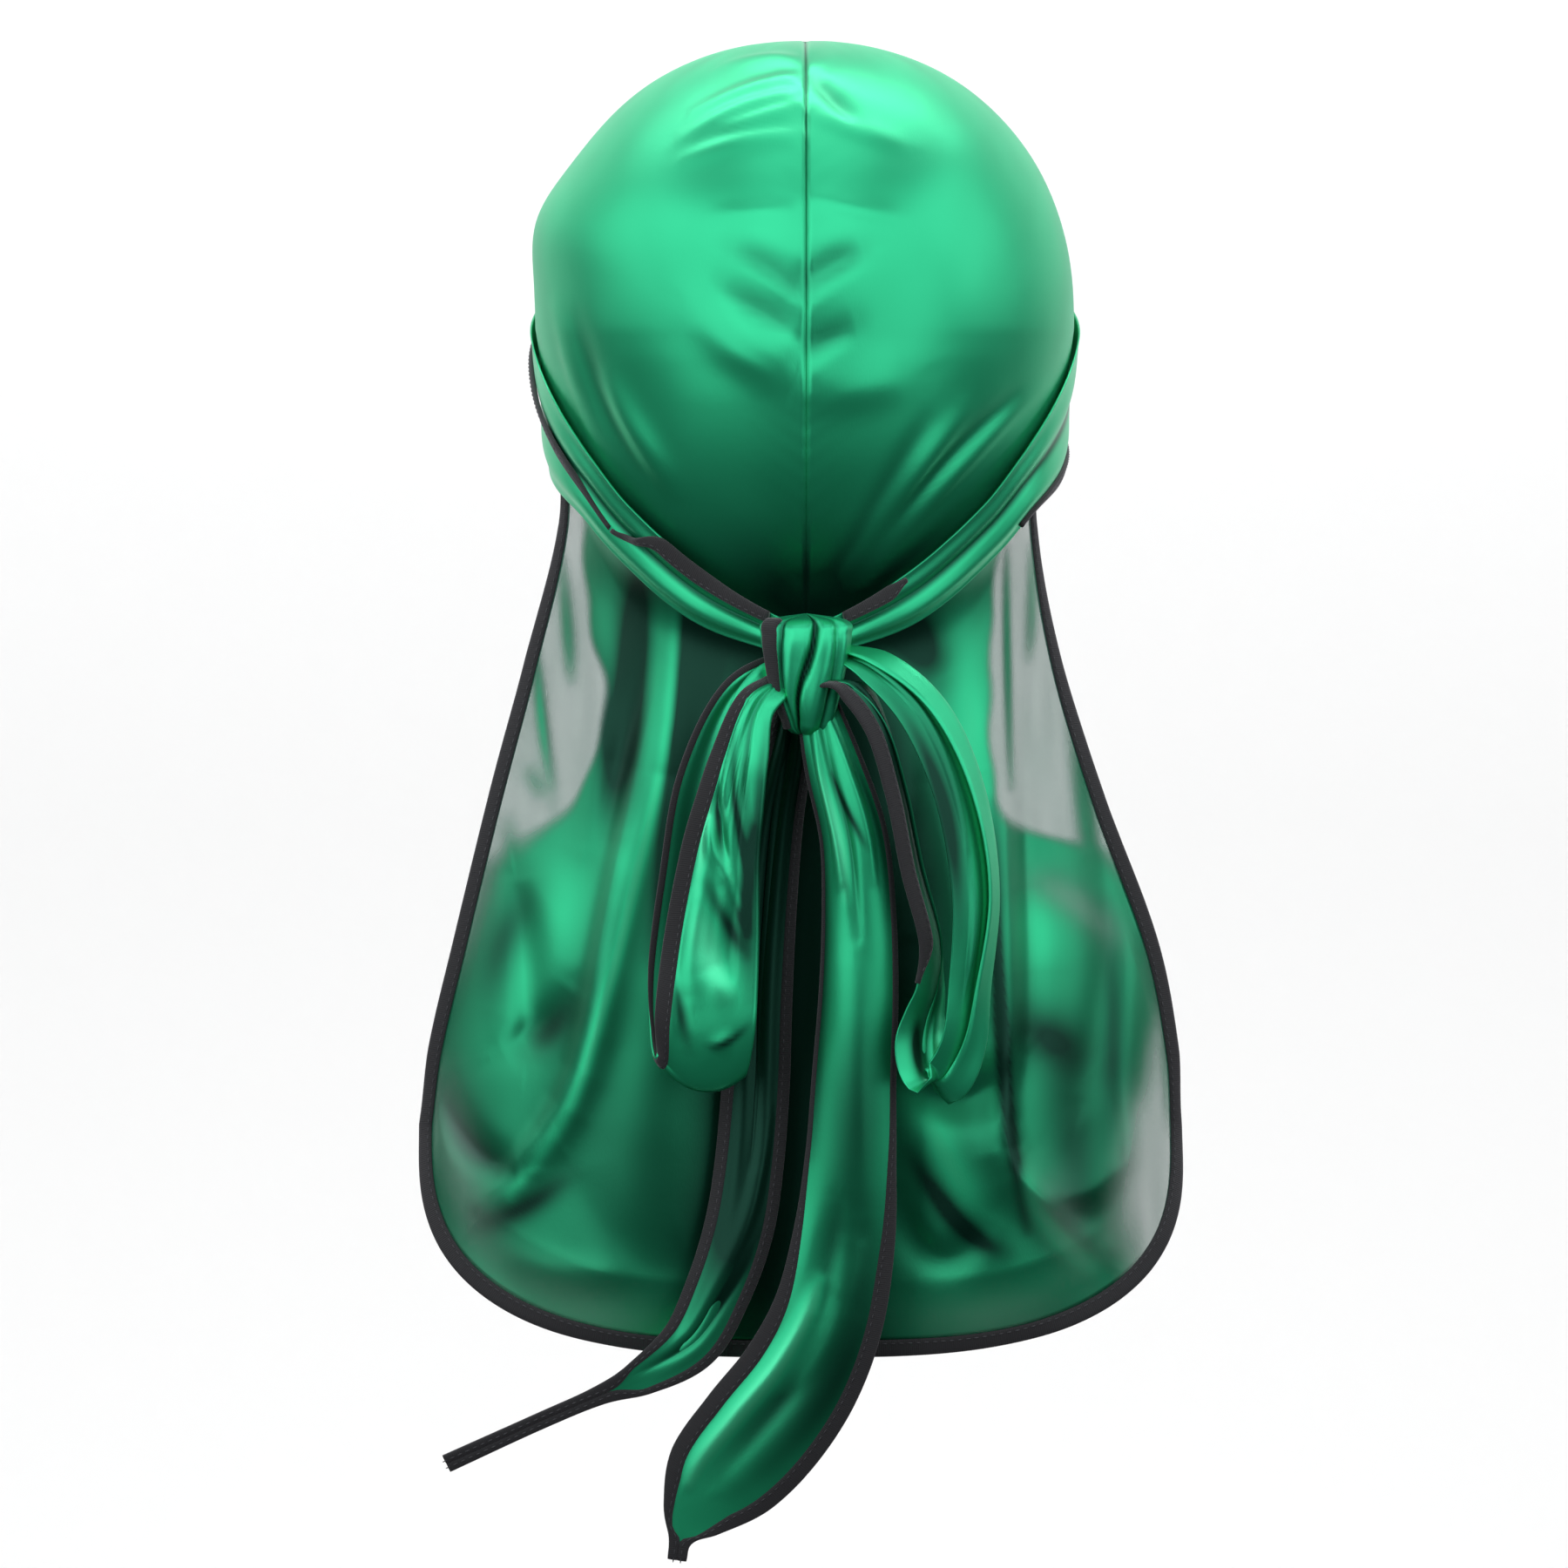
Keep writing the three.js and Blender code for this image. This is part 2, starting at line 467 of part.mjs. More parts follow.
function capePoint(column, down) {
  const row = (name) => along(cape_sections, "down", name, down);
  const turn = radians(90 * column);
  const hem_power = 2 / hem_fullness;
  const hem_across = Math.sign(column) * Math.abs(Math.sin(turn)) ** hem_power;
  const hem_low = Math.max(Math.cos(turn), 0) ** hem_power;
  const azimuth = cape_side_azimuth * column;
  const rim_low = (rimDrop(azimuth) - cape_side_drop) / (rimDrop(0) - cape_side_drop);
  const rim_across = Math.sin(radians(azimuth)) / Math.sin(radians(cape_side_azimuth));
  const blend = down ** 1.3;
  const half = mix(row("left"), row("right"), (column + 1) / 2) * cape_half_width;
  const side = cape_side_drop + down * cape_side_length;
  const middle = rimDrop(0) + down * cape_length;
  const hang = mix(row("side_back"), row("middle_back"), mix(Math.cos(turn), hem_low, blend * 0.6));
  const loose = vector(
    half * mix(rim_across, hem_across, blend),
    -hang * head_half_length,
    -mix(side, middle, mix(rim_low, hem_low, blend)),
  );
  // The top of the cape is sewn to the crown's rim, so it starts close to the head there.
  const sewn = headPoint(azimuth, rimDrop(azimuth) + seam_gap + down * cape_length, satin_thickness / 2);
  const hold = clamp(1 - down / (cape_hold * (1 - column ** 2 / 2)), 0, 1);
  return loose.lerp(sewn, hold ** 2 * (3 - 2 * hold));
}

const cape_fold_lines = cape_folds.map((fold) => {
  const ends = [0, 1, 2].map((n) => capePoint(fold[`column${n}`], fold[`down${n}`]));
  return {
    x0: ends[0].x,
    x1: ends[1].x,
    x2: ends[2].x,
    z0: ends[0].z,
    z1: ends[1].z,
    z2: ends[2].z,
    width: fold.width * cape_half_width,
    rise: fold.rise * cape_half_width,
  };
});

function foldedCapePoint(column, down) {
  const point = capePoint(column, down);
  const folds = cape_fold_lines.reduce((sum, fold) => sum + foldRise(fold, point.x, point.z), 0);
  const free = clamp((down - cape_hold / 2) / (cape_hold * 2), 0, 1);
  const loose_edge = clamp((1 - Math.abs(column)) / 0.08, 0, 1) * clamp((1 - down) / 0.08, 0, 1);
  point.y -= folds * free * mix(0.35, 1, loose_edge);
  return point;
}

function capeGrid() {
  const grid = [];
  for (let i = 0; i <= cape_rows; i += 1) {
    grid.push([]);
    for (let j = 0; j <= cape_columns; j += 1) grid[i].push(foldedCapePoint((2 * j) / cape_columns - 1, i / cape_rows));
  }
  return grid;
}

// The cape's outline, from its top left corner down, along the hem and up to the top right corner.
function capeOutline(grid) {
  const left = grid.map((row) => row[0]);
  const hem = grid[cape_rows].slice(1, -1);
  const right = grid.map((row) => row[cape_columns]).reverse();
  return [...left, ...hem, ...right];
}

function capeBinding(grid) {
  const outline = capeOutline(grid).slice(2, -2);
  const centre = grid[Math.round(cape_rows / 2)][Math.round(cape_columns / 2)];
  const rows = outline.map((point, i) => {
    const ahead = outline[Math.min(i + 1, outline.length - 1)];
    const behind = outline[Math.max(i - 1, 0)];
    const course = ahead.clone().sub(behind).normalize();
    const away = vector(course.z, 0, -course.x);
    if (away.dot(point.clone().sub(centre)) < 0) away.negate();
    const start = piece_gap + satin_thickness / 4;
    return [start, start + binding_width].map((reach) => point.clone().addScaledVector(away, reach));
  });
  return clothSolid(rows, binding_thickness);
}

// Ribbons: straps, loops and tails. A ribbon's frames hold its middle line, the direction across
// it and its outward side. Its satin has two soft pleats, and is level again where the tapes start.
const tapeShare = (frame) => Math.min((binding_width * frame.tape) / frame.half, 0.38);

const satinShare = (frame) => 1 - tapeShare(frame) - piece_gap / frame.half;

// Points and outward normals of a ribbon's surface, between two places across it.
function ribbonSurface(frames, from, to, columns, lift = 0) {
  const points = [];
  const normals = [];
  for (const frame of frames) {
    const depth = Math.min(frame.pleat, steepest_pleat * frame.half) / 2;
    const satin = satinShare(frame);
    points.push([]);
    normals.push([]);
    for (let j = 0; j <= columns; j += 1) {
      const place = mix(from(frame), to(frame), j / columns);
      const wave = 2 * Math.PI * clamp(place / satin, -1, 1);
      const slope = (depth * 2 * Math.PI * Math.sin(wave)) / (satin * frame.half);
      const normal = frame.out.clone().addScaledVector(frame.across, -slope).normalize();
      const point = frame.point.clone().addScaledVector(frame.across, place * frame.half);
      points.at(-1).push(point.addScaledVector(frame.out, -depth * Math.cos(wave)).addScaledVector(normal, lift));
      normals.at(-1).push(normal);
    }
  }
  return { points, normals };
}

function ribbonSolid(frames, from, to, columns, thickness, lift = 0) {
  const { points, normals } = ribbonSurface(frames, from, to, columns, lift);
  return clothSolid(points, thickness, normals);
}

// The satin runs from tape to tape, or to the ribbon's own edge where the tape is folded under.
function ribbonSatin(frames, columns, right_taped) {
  const right = right_taped ? satinShare : () => 1;
  return ribbonSolid(frames, (frame) => -satinShare(frame), right, columns, satin_thickness);
}

function ribbonTape(frames, side) {
  const inner = (frame) => side * (1 - tapeShare(frame));
  return ribbonSolid(frames, side > 0 ? inner : () => -1, side > 0 ? () => 1 : inner, 1, binding_thickness);
}

function strapFrames(side) {
  const steps = 22;
  const end = strap_sections.at(-1).azimuth;
  const seats = [];
  for (let i = -1; i <= steps + 1; i += 1) {
    const azimuth = mix(strap_root_azimuth, end, i / steps);
    const column = (name) => along(strap_sections, "azimuth", name, azimuth);
    const pleat = column("pleat") * pleat_depth;
    const drop = rimDrop(azimuth) - column("shift") * strap_width;
    const lift = satin_thickness + lay_gap + satin_thickness / 2 + pleat / 2;
    const point = headPoint(azimuth * side, drop, lift);
    point.y -= column("away") * knot_depth;
    const normal = headNormal(azimuth * side, drop);
    seats.push({ azimuth, point, normal, half: (column("width") * strap_width) / 2, pleat, tape: 0.1 });
  }
  return seats.slice(1, -1).map((seat, i) => {
    const course = seats[i + 2].point.clone().sub(seats[i].point).normalize();
    const across = seat.normal.clone().cross(course).normalize();
    if (across.z < 0) across.negate();
    const out = course.clone().cross(across).normalize();
    if (out.dot(seat.normal) < 0) out.negate();
    return { ...seat, across, out };
  });
}

// Satin of a strap, from edge to edge: its tapes lie on top of it.
function strapSatin(side) {
  return ribbonSolid(strapFrames(side), () => -1, () => 1, 6, satin_thickness);
}

function strapTape({ side, start, end, place0, place1 }) {
  const place = (frame) => frame.azimuth / strap_root_azimuth;
  const frames = strapFrames(side).filter((frame) => place(frame) < start && place(frame) > end);
  const middle = (frame) => mix(place0, place1, (start - place(frame)) / (start - end));
  const reach = (frame) => Math.min(binding_width / 2, frame.half * 0.3) / frame.half;
  const lift = satin_thickness / 2 + lay_gap + binding_thickness / 2;
  const from = (frame) => middle(frame) - reach(frame);
  return ribbonSolid(frames, from, (frame) => middle(frame) + reach(frame), 3, binding_thickness, lift);
}

const knot_centre = vector(0, knot_set_in - head_half_length, -knot_drop);

// Frames of a loop or a tail, from its table and its length.
function hangingFrames(course_table, length, steps, tape) {
  const last = course_table.length - 1;
  const curve = new THREE.CatmullRomCurve3(
    course_table.map((row) =>
      knot_centre.clone().add(vector(row.across * length, -row.out * length, -row.down * length)),
    ),
    false,
    "centripetal",
  );
  const numbered = course_table.map((row, i) => ({ ...row, place: i / last }));
  const frames = [];
  for (let i = 0; i <= steps; i += 1) {
    const place = i / steps;
    const value = (name) => along(numbered, "place", name, place);
    const course = curve.getTangent(place);
    const turn = radians(value("turn"));
    const across = vector(Math.cos(turn), Math.sin(turn), 0);
    across.addScaledVector(course, -across.dot(course)).normalize();
    const out = course.clone().cross(across).normalize();
    frames.push({
      point: curve.getPoint(place),
      across,
      out,
      half: (value("width") * strap_width) / 2,
      pleat: value("pleat") * pleat_depth,
      tape,
    });
  }
  return frames;
}

// The knot: the ribbon's last turn, pulled tight over the front of the knot from top to bottom.
function knotPoint(high, round, lift) {
  const row = (name) => along(knot_sections, "high", name, high);
  const turn = 2 * Math.PI * round;
  const [side, back] = [Math.sin(turn), Math.cos(turn)];
  const crease = 1 - 0.14 * Math.exp(-(((side - 0.12) / 0.16) ** 2)) * Math.max(back, 0);
  const half_width = (knot_width * row("width")) / 2;
  const half_depth = ((knot_depth * row("depth")) / 2) * crease;
  const point = vector(
    row("lean") * knot_width + half_width * Math.sign(side) * Math.abs(side) ** 0.8,
    -half_depth * Math.sign(back) * Math.abs(back) ** 0.8,
    (high * knot_height) / 2,
  );
  const away = vector(point.x / (knot_width / 2), point.y / (knot_depth / 2), point.z / (knot_height / 2));
  away.divide(vector(knot_width, knot_depth, knot_height)).normalize();
  return point.addScaledVector(away, lift).add(knot_centre);
}

// Rows of the knot, closer together near its ends.
const knotHigh = (share) => Math.cos(Math.PI * share);

function knotSolid(lift) {
  const shell = [];
  for (let i = 0; i <= knot_rows; i += 1) {
    shell.push([]);
    for (let j = 0; j <= knot_columns; j += 1)
      shell[i].push(knotPoint(knotHigh(i / knot_rows), (j % knot_columns) / knot_columns, lift));
  }
  const core = shell.map((row) => row.map(() => knotPoint(knotHigh(0.5), 0, 0).lerp(knot_centre, 1)));
  return solidBetween(shell, core);
}

// Tape along the left edge of the knot's ribbon, or with room the space that it needs.
function knotTape(room = 0) {
  const steps = 10;
  const columns = 4;
  const rows = [];
  for (let i = 0; i <= steps; i += 1) {
    const high = mix(0.86, -0.8, i / steps);
    const lift = 2 * piece_gap + binding_thickness / 2;
    rows.push([]);
    for (let j = 0; j <= columns; j += 1) {
      const round = mix(-0.18 - room / 50, -0.075 + room / 50, j / columns);
      rows[i].push(knotPoint(high, round, lift));
    }
  }
  return clothSolid(rows, binding_thickness + 2 * room);
}

// Takes the room of the knot out of a ribbon, and keeps the ribbon's one long body.
const { Manifold, Mesh } = await Module().then((kit) => {
  kit.setup();
  return kit;
});

function solidOf(geometry) {
  const merged = mergeVertices(geometry, 1e-3);
  return new Manifold(
    new Mesh({
      numProp: 3,
      vertProperties: new Float32Array(merged.attributes.position.array),
      triVerts: new Uint32Array(merged.index.array),
    }),
  );
}

function geometryOf(solid) {
  const { vertProperties, triVerts } = solid.getMesh();
  const geometry = new THREE.BufferGeometry();
  geometry.setAttribute("position", new THREE.BufferAttribute(vertProperties, 3));
  return geometry.setIndex(new THREE.BufferAttribute(triVerts, 1));
}

const knot_room = solidOf(knotSolid(piece_gap)).add(solidOf(knotTape(piece_gap)));

function outsideKnot(geometry) {
  const bodies = solidOf(geometry).subtract(knot_room).decompose();
  return geometryOf(bodies.sort((a, b) => b.volume() - a.volume())[0]);
}

const durag = new THREE.Group();
durag.add(piece("crown_left", crownPanel(-1), satin_green));
durag.add(piece("crown_right", crownPanel(1), satin_green));
durag.add(piece("front_binding", frontBinding(), binding_black));
const cape_grid = capeGrid();
durag.add(piece("cape", clothSolid(cape_grid, satin_thickness), satin_green));
durag.add(piece("cape_binding", capeBinding(cape_grid), binding_black));
durag.add(piece("strap_left", outsideKnot(strapSatin(-1)), satin_green));
durag.add(piece("strap_right", outsideKnot(strapSatin(1)), satin_green));
for (const tape of strap_tapes) durag.add(piece(tape.name, outsideKnot(strapTape(tape)), binding_black));
durag.add(piece("knot", knotSolid(0), satin_green));
durag.add(piece("knot_tape", knotTape(), binding_black));
const hanging = [
  { name: "loop_left", frames: hangingFrames(loop_left_course, loop_left_length, 24, 0.8), tape_end: 25 },
  { name: "loop_right", frames: hangingFrames(loop_right_course, loop_right_length, 24, 0.8), tape_end: 14 },
  { name: "tail_left", frames: hangingFrames(tail_left_course, tail_left_length, 20, 0.7), right_taped: true },
  { name: "tail_right", frames: hangingFrames(tail_right_course, tail_right_length, 21, 0.8), right_taped: true },
];
for (const { name, frames, tape_end, right_taped } of hanging) {
  durag.add(piece(name, outsideKnot(ribbonSatin(frames, 5, right_taped)), satin_green));
  const left = outsideKnot(ribbonTape(frames.slice(0, tape_end), -1));
  durag.add(piece(`${name}_tape_left`, left, binding_black));
  if (right_taped) durag.add(piece(`${name}_tape_right`, outsideKnot(ribbonTape(frames, 1)), binding_black));
}

export default durag;
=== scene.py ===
# %% [markdown]
# # A green satin durag, tied in a bow
#
# A durag is a head wrap. Two satin panels make the crown, a cape hangs from it over the neck, and
# two long straps run round the head and are tied at the back. All of it is thin cloth, so almost
# everything the eye sees comes from two things: how the cloth folds, and how satin shines. This
# file builds the folds as real surfaces, one piece after another. The materials add the weave, and
# on top of it painted shade and painted highlights in the creases, hollows and folds. The wrap is
# shown in its worn form from behind, with nothing inside it.

# %% Load the frame that every piece is built in
import math

import bpy
import numpy as np
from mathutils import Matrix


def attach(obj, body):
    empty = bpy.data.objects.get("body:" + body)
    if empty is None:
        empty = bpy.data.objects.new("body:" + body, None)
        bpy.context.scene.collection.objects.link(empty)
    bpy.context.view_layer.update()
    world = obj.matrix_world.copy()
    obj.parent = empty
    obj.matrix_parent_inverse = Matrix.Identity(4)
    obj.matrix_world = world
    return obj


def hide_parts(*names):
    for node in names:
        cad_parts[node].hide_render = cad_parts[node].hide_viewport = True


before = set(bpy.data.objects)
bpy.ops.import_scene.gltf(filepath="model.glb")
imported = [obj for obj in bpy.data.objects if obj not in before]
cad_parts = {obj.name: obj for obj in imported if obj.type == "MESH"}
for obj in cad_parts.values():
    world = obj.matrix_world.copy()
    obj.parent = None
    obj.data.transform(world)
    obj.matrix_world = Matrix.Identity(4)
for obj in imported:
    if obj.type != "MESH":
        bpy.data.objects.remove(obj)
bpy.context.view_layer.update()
MM = 0.001
print("solids to dress:", len(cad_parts))

# %% [markdown]
# The photograph looks at the back of the head from a little above, through a long lens. The camera
# comes first, so that every piece can be looked at as it is made. The camera stands 1.7 m behind
# the wrap, where the picture's frame is about 47 cm wide.

# %% Camera at the photograph's angle
CAMERA_DISTANCE = 1.7
CAMERA_HEIGHT_ANGLE = math.radians(5)
PICTURE_WIDTH = 0.4703
SENSOR_WIDTH = 36
look_at = np.array((-0.0063, 0.0, -0.2202))
step_back = np.array((0, -math.cos(CAMERA_HEIGHT_ANGLE), math.sin(CAMERA_HEIGHT_ANGLE)))

lens = bpy.data.cameras.new("camera")
lens.sensor_width = SENSOR_WIDTH
lens.lens = SENSOR_WIDTH * CAMERA_DISTANCE / PICTURE_WIDTH
lens.clip_end = 20
camera = bpy.data.objects.new("camera", lens)
camera.location = look_at + step_back * CAMERA_DISTANCE
camera.rotation_euler = (math.radians(90) - CAMERA_HEIGHT_ANGLE, 0, 0)
bpy.context.scene.collection.objects.link(camera)
bpy.context.scene.camera = camera
print("lens", round(lens.lens, 1), "mm")

# %% [markdown]
# The pieces share one head shape and one set of sizes. They are the sizes that the solids were
# drawn with, in millimetres, and each piece is turned into metres only when its mesh is made.
# Tables give the rest, as shares of these sizes: one row for each level, fold or station.

# %% Sizes of the wrap, in millimetres
SATIN = 1.0
CLOTH = 0.5
TAPE_WIDTH = 5.0
TAPE_THICK = 1.5
PIECE_GAP = 0.4
SEAM_GAP = 0.8
LAY_GAP = 0.7

HEAD_HALF_WIDTH = 79.3
HEAD_HALF_LENGTH = 97
DOME_HEIGHT = 84
DOME_FULLNESS = 2.2
SHOULDER_BULGE, SHOULDER_DROP, SHOULDER_HEIGHT = 4.0, 54, 15
NECK_SLOPE = 80
RIM_DROP_FRONT, RIM_DROP_BACK = 62, 172

CAPE_HALF_WIDTH = 109.2
CAPE_LENGTH = 201
CAPE_SIDE_LENGTH = 204
CAPE_SIDE_AZIMUTH = 80
CAPE_HOLD = 0.14
HEM_FULLNESS = 2.9

STRAP_WIDTH = 42
STRAP_ROOT_AZIMUTH = 142
PLEAT_DEPTH = 3.4
STEEPEST_PLEAT = 0.22
KNOT_WIDTH, KNOT_HEIGHT, KNOT_DEPTH = 25, 34, 19
KNOT_DROP, KNOT_BACK = 181, 93
LOOP_LEFT_LENGTH, LOOP_RIGHT_LENGTH = 116, 112
TAIL_LEFT_LENGTH, TAIL_RIGHT_LENGTH = 226, 252
print("crown", 2 * (HEAD_HALF_WIDTH + SATIN), "mm wide, cape", 2 * (CAPE_HALF_WIDTH + TAPE_WIDTH), "mm")

# %% [markdown]
# A table is a short list of rows under named columns. Between its rows a smooth curve is drawn, one
# that passes through every row without a corner, which is what cloth under light tension does.


# %% Tables and the smooth curves through them
def table(columns, *rows):
    names = columns.split()
    return {name: np.array([row[i] for row in rows], float) for i, name in enumerate(names)}


def smooth(rows, key, column, places):
    """The smooth value of a column where the key column has the given values."""
    x, y = rows[key], rows[column]
    if x[0] > x[-1]:
        x, y = x[::-1], y[::-1]
    at = np.clip(places, x[0], x[-1])
    i = np.clip(np.searchsorted(x, at, side="right") - 1, 0, len(x) - 2)
    low, high = np.maximum(np.arange(len(x)) - 1, 0), np.minimum(np.arange(len(x)) + 1, len(x) - 1)
    slope = (y[high] - y[low]) / (x[high] - x[low])
    step = x[i + 1] - x[i]
    t = (at - x[i]) / step
    value = (2 * t**3 - 3 * t**2 + 1) * y[i] + (3 * t**2 - 2 * t**3) * y[i + 1]
    return value + (t**3 - 2 * t**2 + t) * step * slope[i] + (t**3 - t**2) * step * slope[i + 1]


def mix(a, b, share):
    return a + (b - a) * share


def soft_step(x, low, high):
    t = np.clip((x - low) / (high - low), 0, 1)
    return t * t * (3 - 2 * t)


def unit(v):
    return v / np.maximum(np.linalg.norm(v, axis=-1, keepdims=True), 1e-9)


def stack(*parts):
    return np.stack(np.broadcast_arrays(*parts), axis=-1)


HEAD_SECTIONS = table(
    "drop width back front",
    (0.488, 1.0, 1.0, 1.0),
    (0.54, 0.985, 0.998, 1.0),
    (0.61, 0.96, 0.985, 1.0),
    (0.7, 0.935, 0.95, 0.98),
    (0.785, 0.91, 0.895, 0.95),
    (0.87, 0.875, 0.83, 0.92),
    (0.96, 0.83, 0.77, 0.9),
    (1.05, 0.79, 0.73, 0.88),
    (1.3, 0.76, 0.7, 0.86),
)
RIM_COURSE = table(
    "azimuth low",
    (0, 1.0),
    (25, 0.885),
    (46, 0.71),
    (57, 0.605),
    (72, 0.5),
    (90, 0.4),
    (120, 0.235),
    (150, 0.08),
    (180, 0.0),
)
print("head levels:", len(HEAD_SECTIONS["drop"]), "rim points:", len(RIM_COURSE["azimuth"]))

# %% [markdown]
# The crown is stretched over the head, so both need the same surface: a dome that is a little
# squarer than an ellipse, and below its widest level a table of widths and lengths. A place on it
# is an azimuth, 0 at the nape and positive to the wearer's right, and a drop from the top. The
# crown's lower edge runs high over the forehead and low at the nape.


# %% The head's surface
def head_section(drop):
    rise = np.clip((DOME_HEIGHT - drop) / DOME_HEIGHT, 0, 1)
    spread = (1 - rise**DOME_FULLNESS) ** (1 / DOME_FULLNESS)
    first = HEAD_SECTIONS["drop"][0]
    place = mix(first, 1, (drop - DOME_HEIGHT) / (RIM_DROP_BACK - DOME_HEIGHT))
    below = drop > DOME_HEIGHT
    shares = [np.where(below, smooth(HEAD_SECTIONS, "drop", c, place), spread) for c in ("width", "back", "front")]
    return shares[0] * HEAD_HALF_WIDTH, shares[1] * HEAD_HALF_LENGTH, shares[2] * HEAD_HALF_LENGTH


def head_point(azimuth, drop):
    width, back, front = head_section(drop)
    turn = np.radians(azimuth)
    length = np.where(np.cos(turn) > 0, back, front)
    return stack(width * np.sin(turn), -length * np.cos(turn), -drop)


def head_normal(azimuth, drop):
    step = 0.5
    low = head_point(azimuth, drop + step) - head_point(azimuth, np.maximum(drop - step, 0.01))
    across = head_point(azimuth + step, drop) - head_point(azimuth - step, drop)
    return unit(np.cross(low, across))


def rim_drop(azimuth):
    return mix(RIM_DROP_FRONT, RIM_DROP_BACK, smooth(RIM_COURSE, "azimuth", "low", np.abs(azimuth)))


print("nape at", head_point(0.0, rim_drop(0.0)).round(1), "temple rim at", float(rim_drop(90.0)))

# %% [markdown]
# A fold is a line across the cloth with a width and a height. The line is drawn as it shows from
# behind, through two to five points. The cloth rises along it and fades at both ends. Real folds
# are steeper on one side, which gives satin its hard bright edges, so a lean from -1 to 1 narrows
# one flank and widens the other. The distance to the line is measured to its short straight
# lengths and not to its points, or the fold would look beaded.


# %% Folds
def fold_line(points, steps=18):
    points = np.array(points, float)
    if len(points) == 3:
        t = np.linspace(0, 1, steps + 1)[:, None]
        return (1 - t) ** 2 * points[0] + 2 * t * (1 - t) * points[1] + t**2 * points[2]
    places = table("place x z", *[(i, x, z) for i, (x, z) in enumerate(points)])
    t = np.linspace(0, len(points) - 1, steps + 1)
    return stack(smooth(places, "place", "x", t), smooth(places, "place", "z", t))


def fold_strength(line, width, lean, x, z):
    """0 to 1: how much of the fold's height there is at each place."""
    best = np.full(x.shape, np.inf)
    place = np.zeros(x.shape)
    side = np.ones(x.shape)
    reach = 4 * width
    near = (x > line[:, 0].min() - reach) & (x < line[:, 0].max() + reach)
    near &= (z > line[:, 1].min() - reach) & (z < line[:, 1].max() + reach)
    for i in range(len(line) - 1):
        a, b = line[i], line[i + 1]
        span = b - a
        dx, dz = x[near] - a[0], z[near] - a[1]
        t = np.clip((dx * span[0] + dz * span[1]) / (span @ span), 0, 1)
        away = np.hypot(dx - t * span[0], dz - t * span[1])
        closer = away < best[near]
        hand = np.sign(span[0] * dz - span[1] * dx)
        best[near] = np.where(closer, away, best[near])
        place[near] = np.where(closer, (i + t) / (len(line) - 1), place[near])
        side[near] = np.where(closer, hand, side[near])
    flank = width * (1 + 0.6 * lean * side)
    fade = np.sin(np.pi * mix(0.06, 0.94, place)) ** 0.8
    return np.where(near, np.exp(-((best / flank) ** 2)) * fade, 0.0)


def folds_at(folds, across_size, drop_size, drop_from, x, z):
    """Height of the cloth over all folds. Lines are shares of across_size and drop_size."""
    height = np.zeros(x.shape)
    for points, width, rise, lean in folds:
        line = fold_line([(a * across_size, -(drop_from + d * drop_size)) for a, d in points])
        height += rise * PLEAT_DEPTH * fold_strength(line, width * across_size, lean, x, z)
    return height


def unevenness(x, z, size, seed, waves=14):
    """Slight waves that no cloth is without, between -1 and 1, about size millimetres long."""
    chance = np.random.default_rng(seed)
    turn = chance.uniform(0, np.pi, waves)
    length = size * chance.uniform(0.6, 1.6, waves)
    shift = chance.uniform(0, 2 * np.pi, waves)
    total = np.zeros(x.shape)
    for t, l, s in zip(turn, length, shift):
        total += np.sin(2 * np.pi * (x * np.cos(t) + z * np.sin(t)) / l + s)
    return total / math.sqrt(waves) / 1.6


short_fold = fold_line([(0, 0), (5, 0), (9, 0)])
print("a fold is full in its middle:", fold_strength(short_fold, 2, 0, np.array([4.5]), np.array([0.0])))

# %% [markdown]
# Every piece of cloth starts as a grid of points. One function makes it a mesh: it turns the faces
# to the outside and gives the mesh a UV map in real metres along and across the cloth, so that the
# weave and the shine can follow the threads. A second one makes tape: a flat tube with round
# edges, swept along a line, because the binding is a folded strip with some body to it.


# %% From grids to meshes
def grid_normals(points):
    down = np.gradient(points, axis=0)
    across = np.gradient(points, axis=1)
    return unit(np.cross(down, across))


def real_lengths(points):
    along = np.linalg.norm(np.diff(points, axis=0), axis=2).mean(axis=1)
    across = np.linalg.norm(np.diff(points, axis=1), axis=2).mean(axis=0)
    return np.concatenate(([0], np.cumsum(across))) * MM, np.concatenate(([0], np.cumsum(along))) * MM


def add_mesh(name, points, faces, place):
    """A mesh of its own. place is where each point lies along and across the weave, in metres."""
    mesh = bpy.data.meshes.new(name)
    mesh.from_pydata((points.reshape(-1, 3) * MM).tolist(), [], faces)
    weave = mesh.uv_layers.new(name="weave")
    corners = [corner for face in faces for corner in face]
    weave.data.foreach_set("uv", place.reshape(-1, 2)[corners].astype(np.float32).ravel())
    mesh.polygons.foreach_set("use_smooth", [True] * len(mesh.polygons))
    mesh.update()
    piece = bpy.data.objects.new(name, mesh)
    bpy.context.scene.collection.objects.link(piece)
    return piece


def grid_faces(rows, columns, flip, ring=False):
    """Faces between rows of points. A ring closes on itself, and has a cap at each end."""
    i, j = np.meshgrid(np.arange(rows - 1), np.arange(columns if ring else columns - 1), indexing="ij")
    after = (j + 1) % columns
    faces = np.stack([i * columns + j, (i + 1) * columns + j, (i + 1) * columns + after, i * columns + after], -1)
    faces = faces.reshape(-1, 4).tolist()
    if ring:
        faces += [list(range(columns)), list(range(rows * columns - 1, (rows - 1) * columns - 1, -1))]
    return [face[::-1] for face in faces] if flip else faces


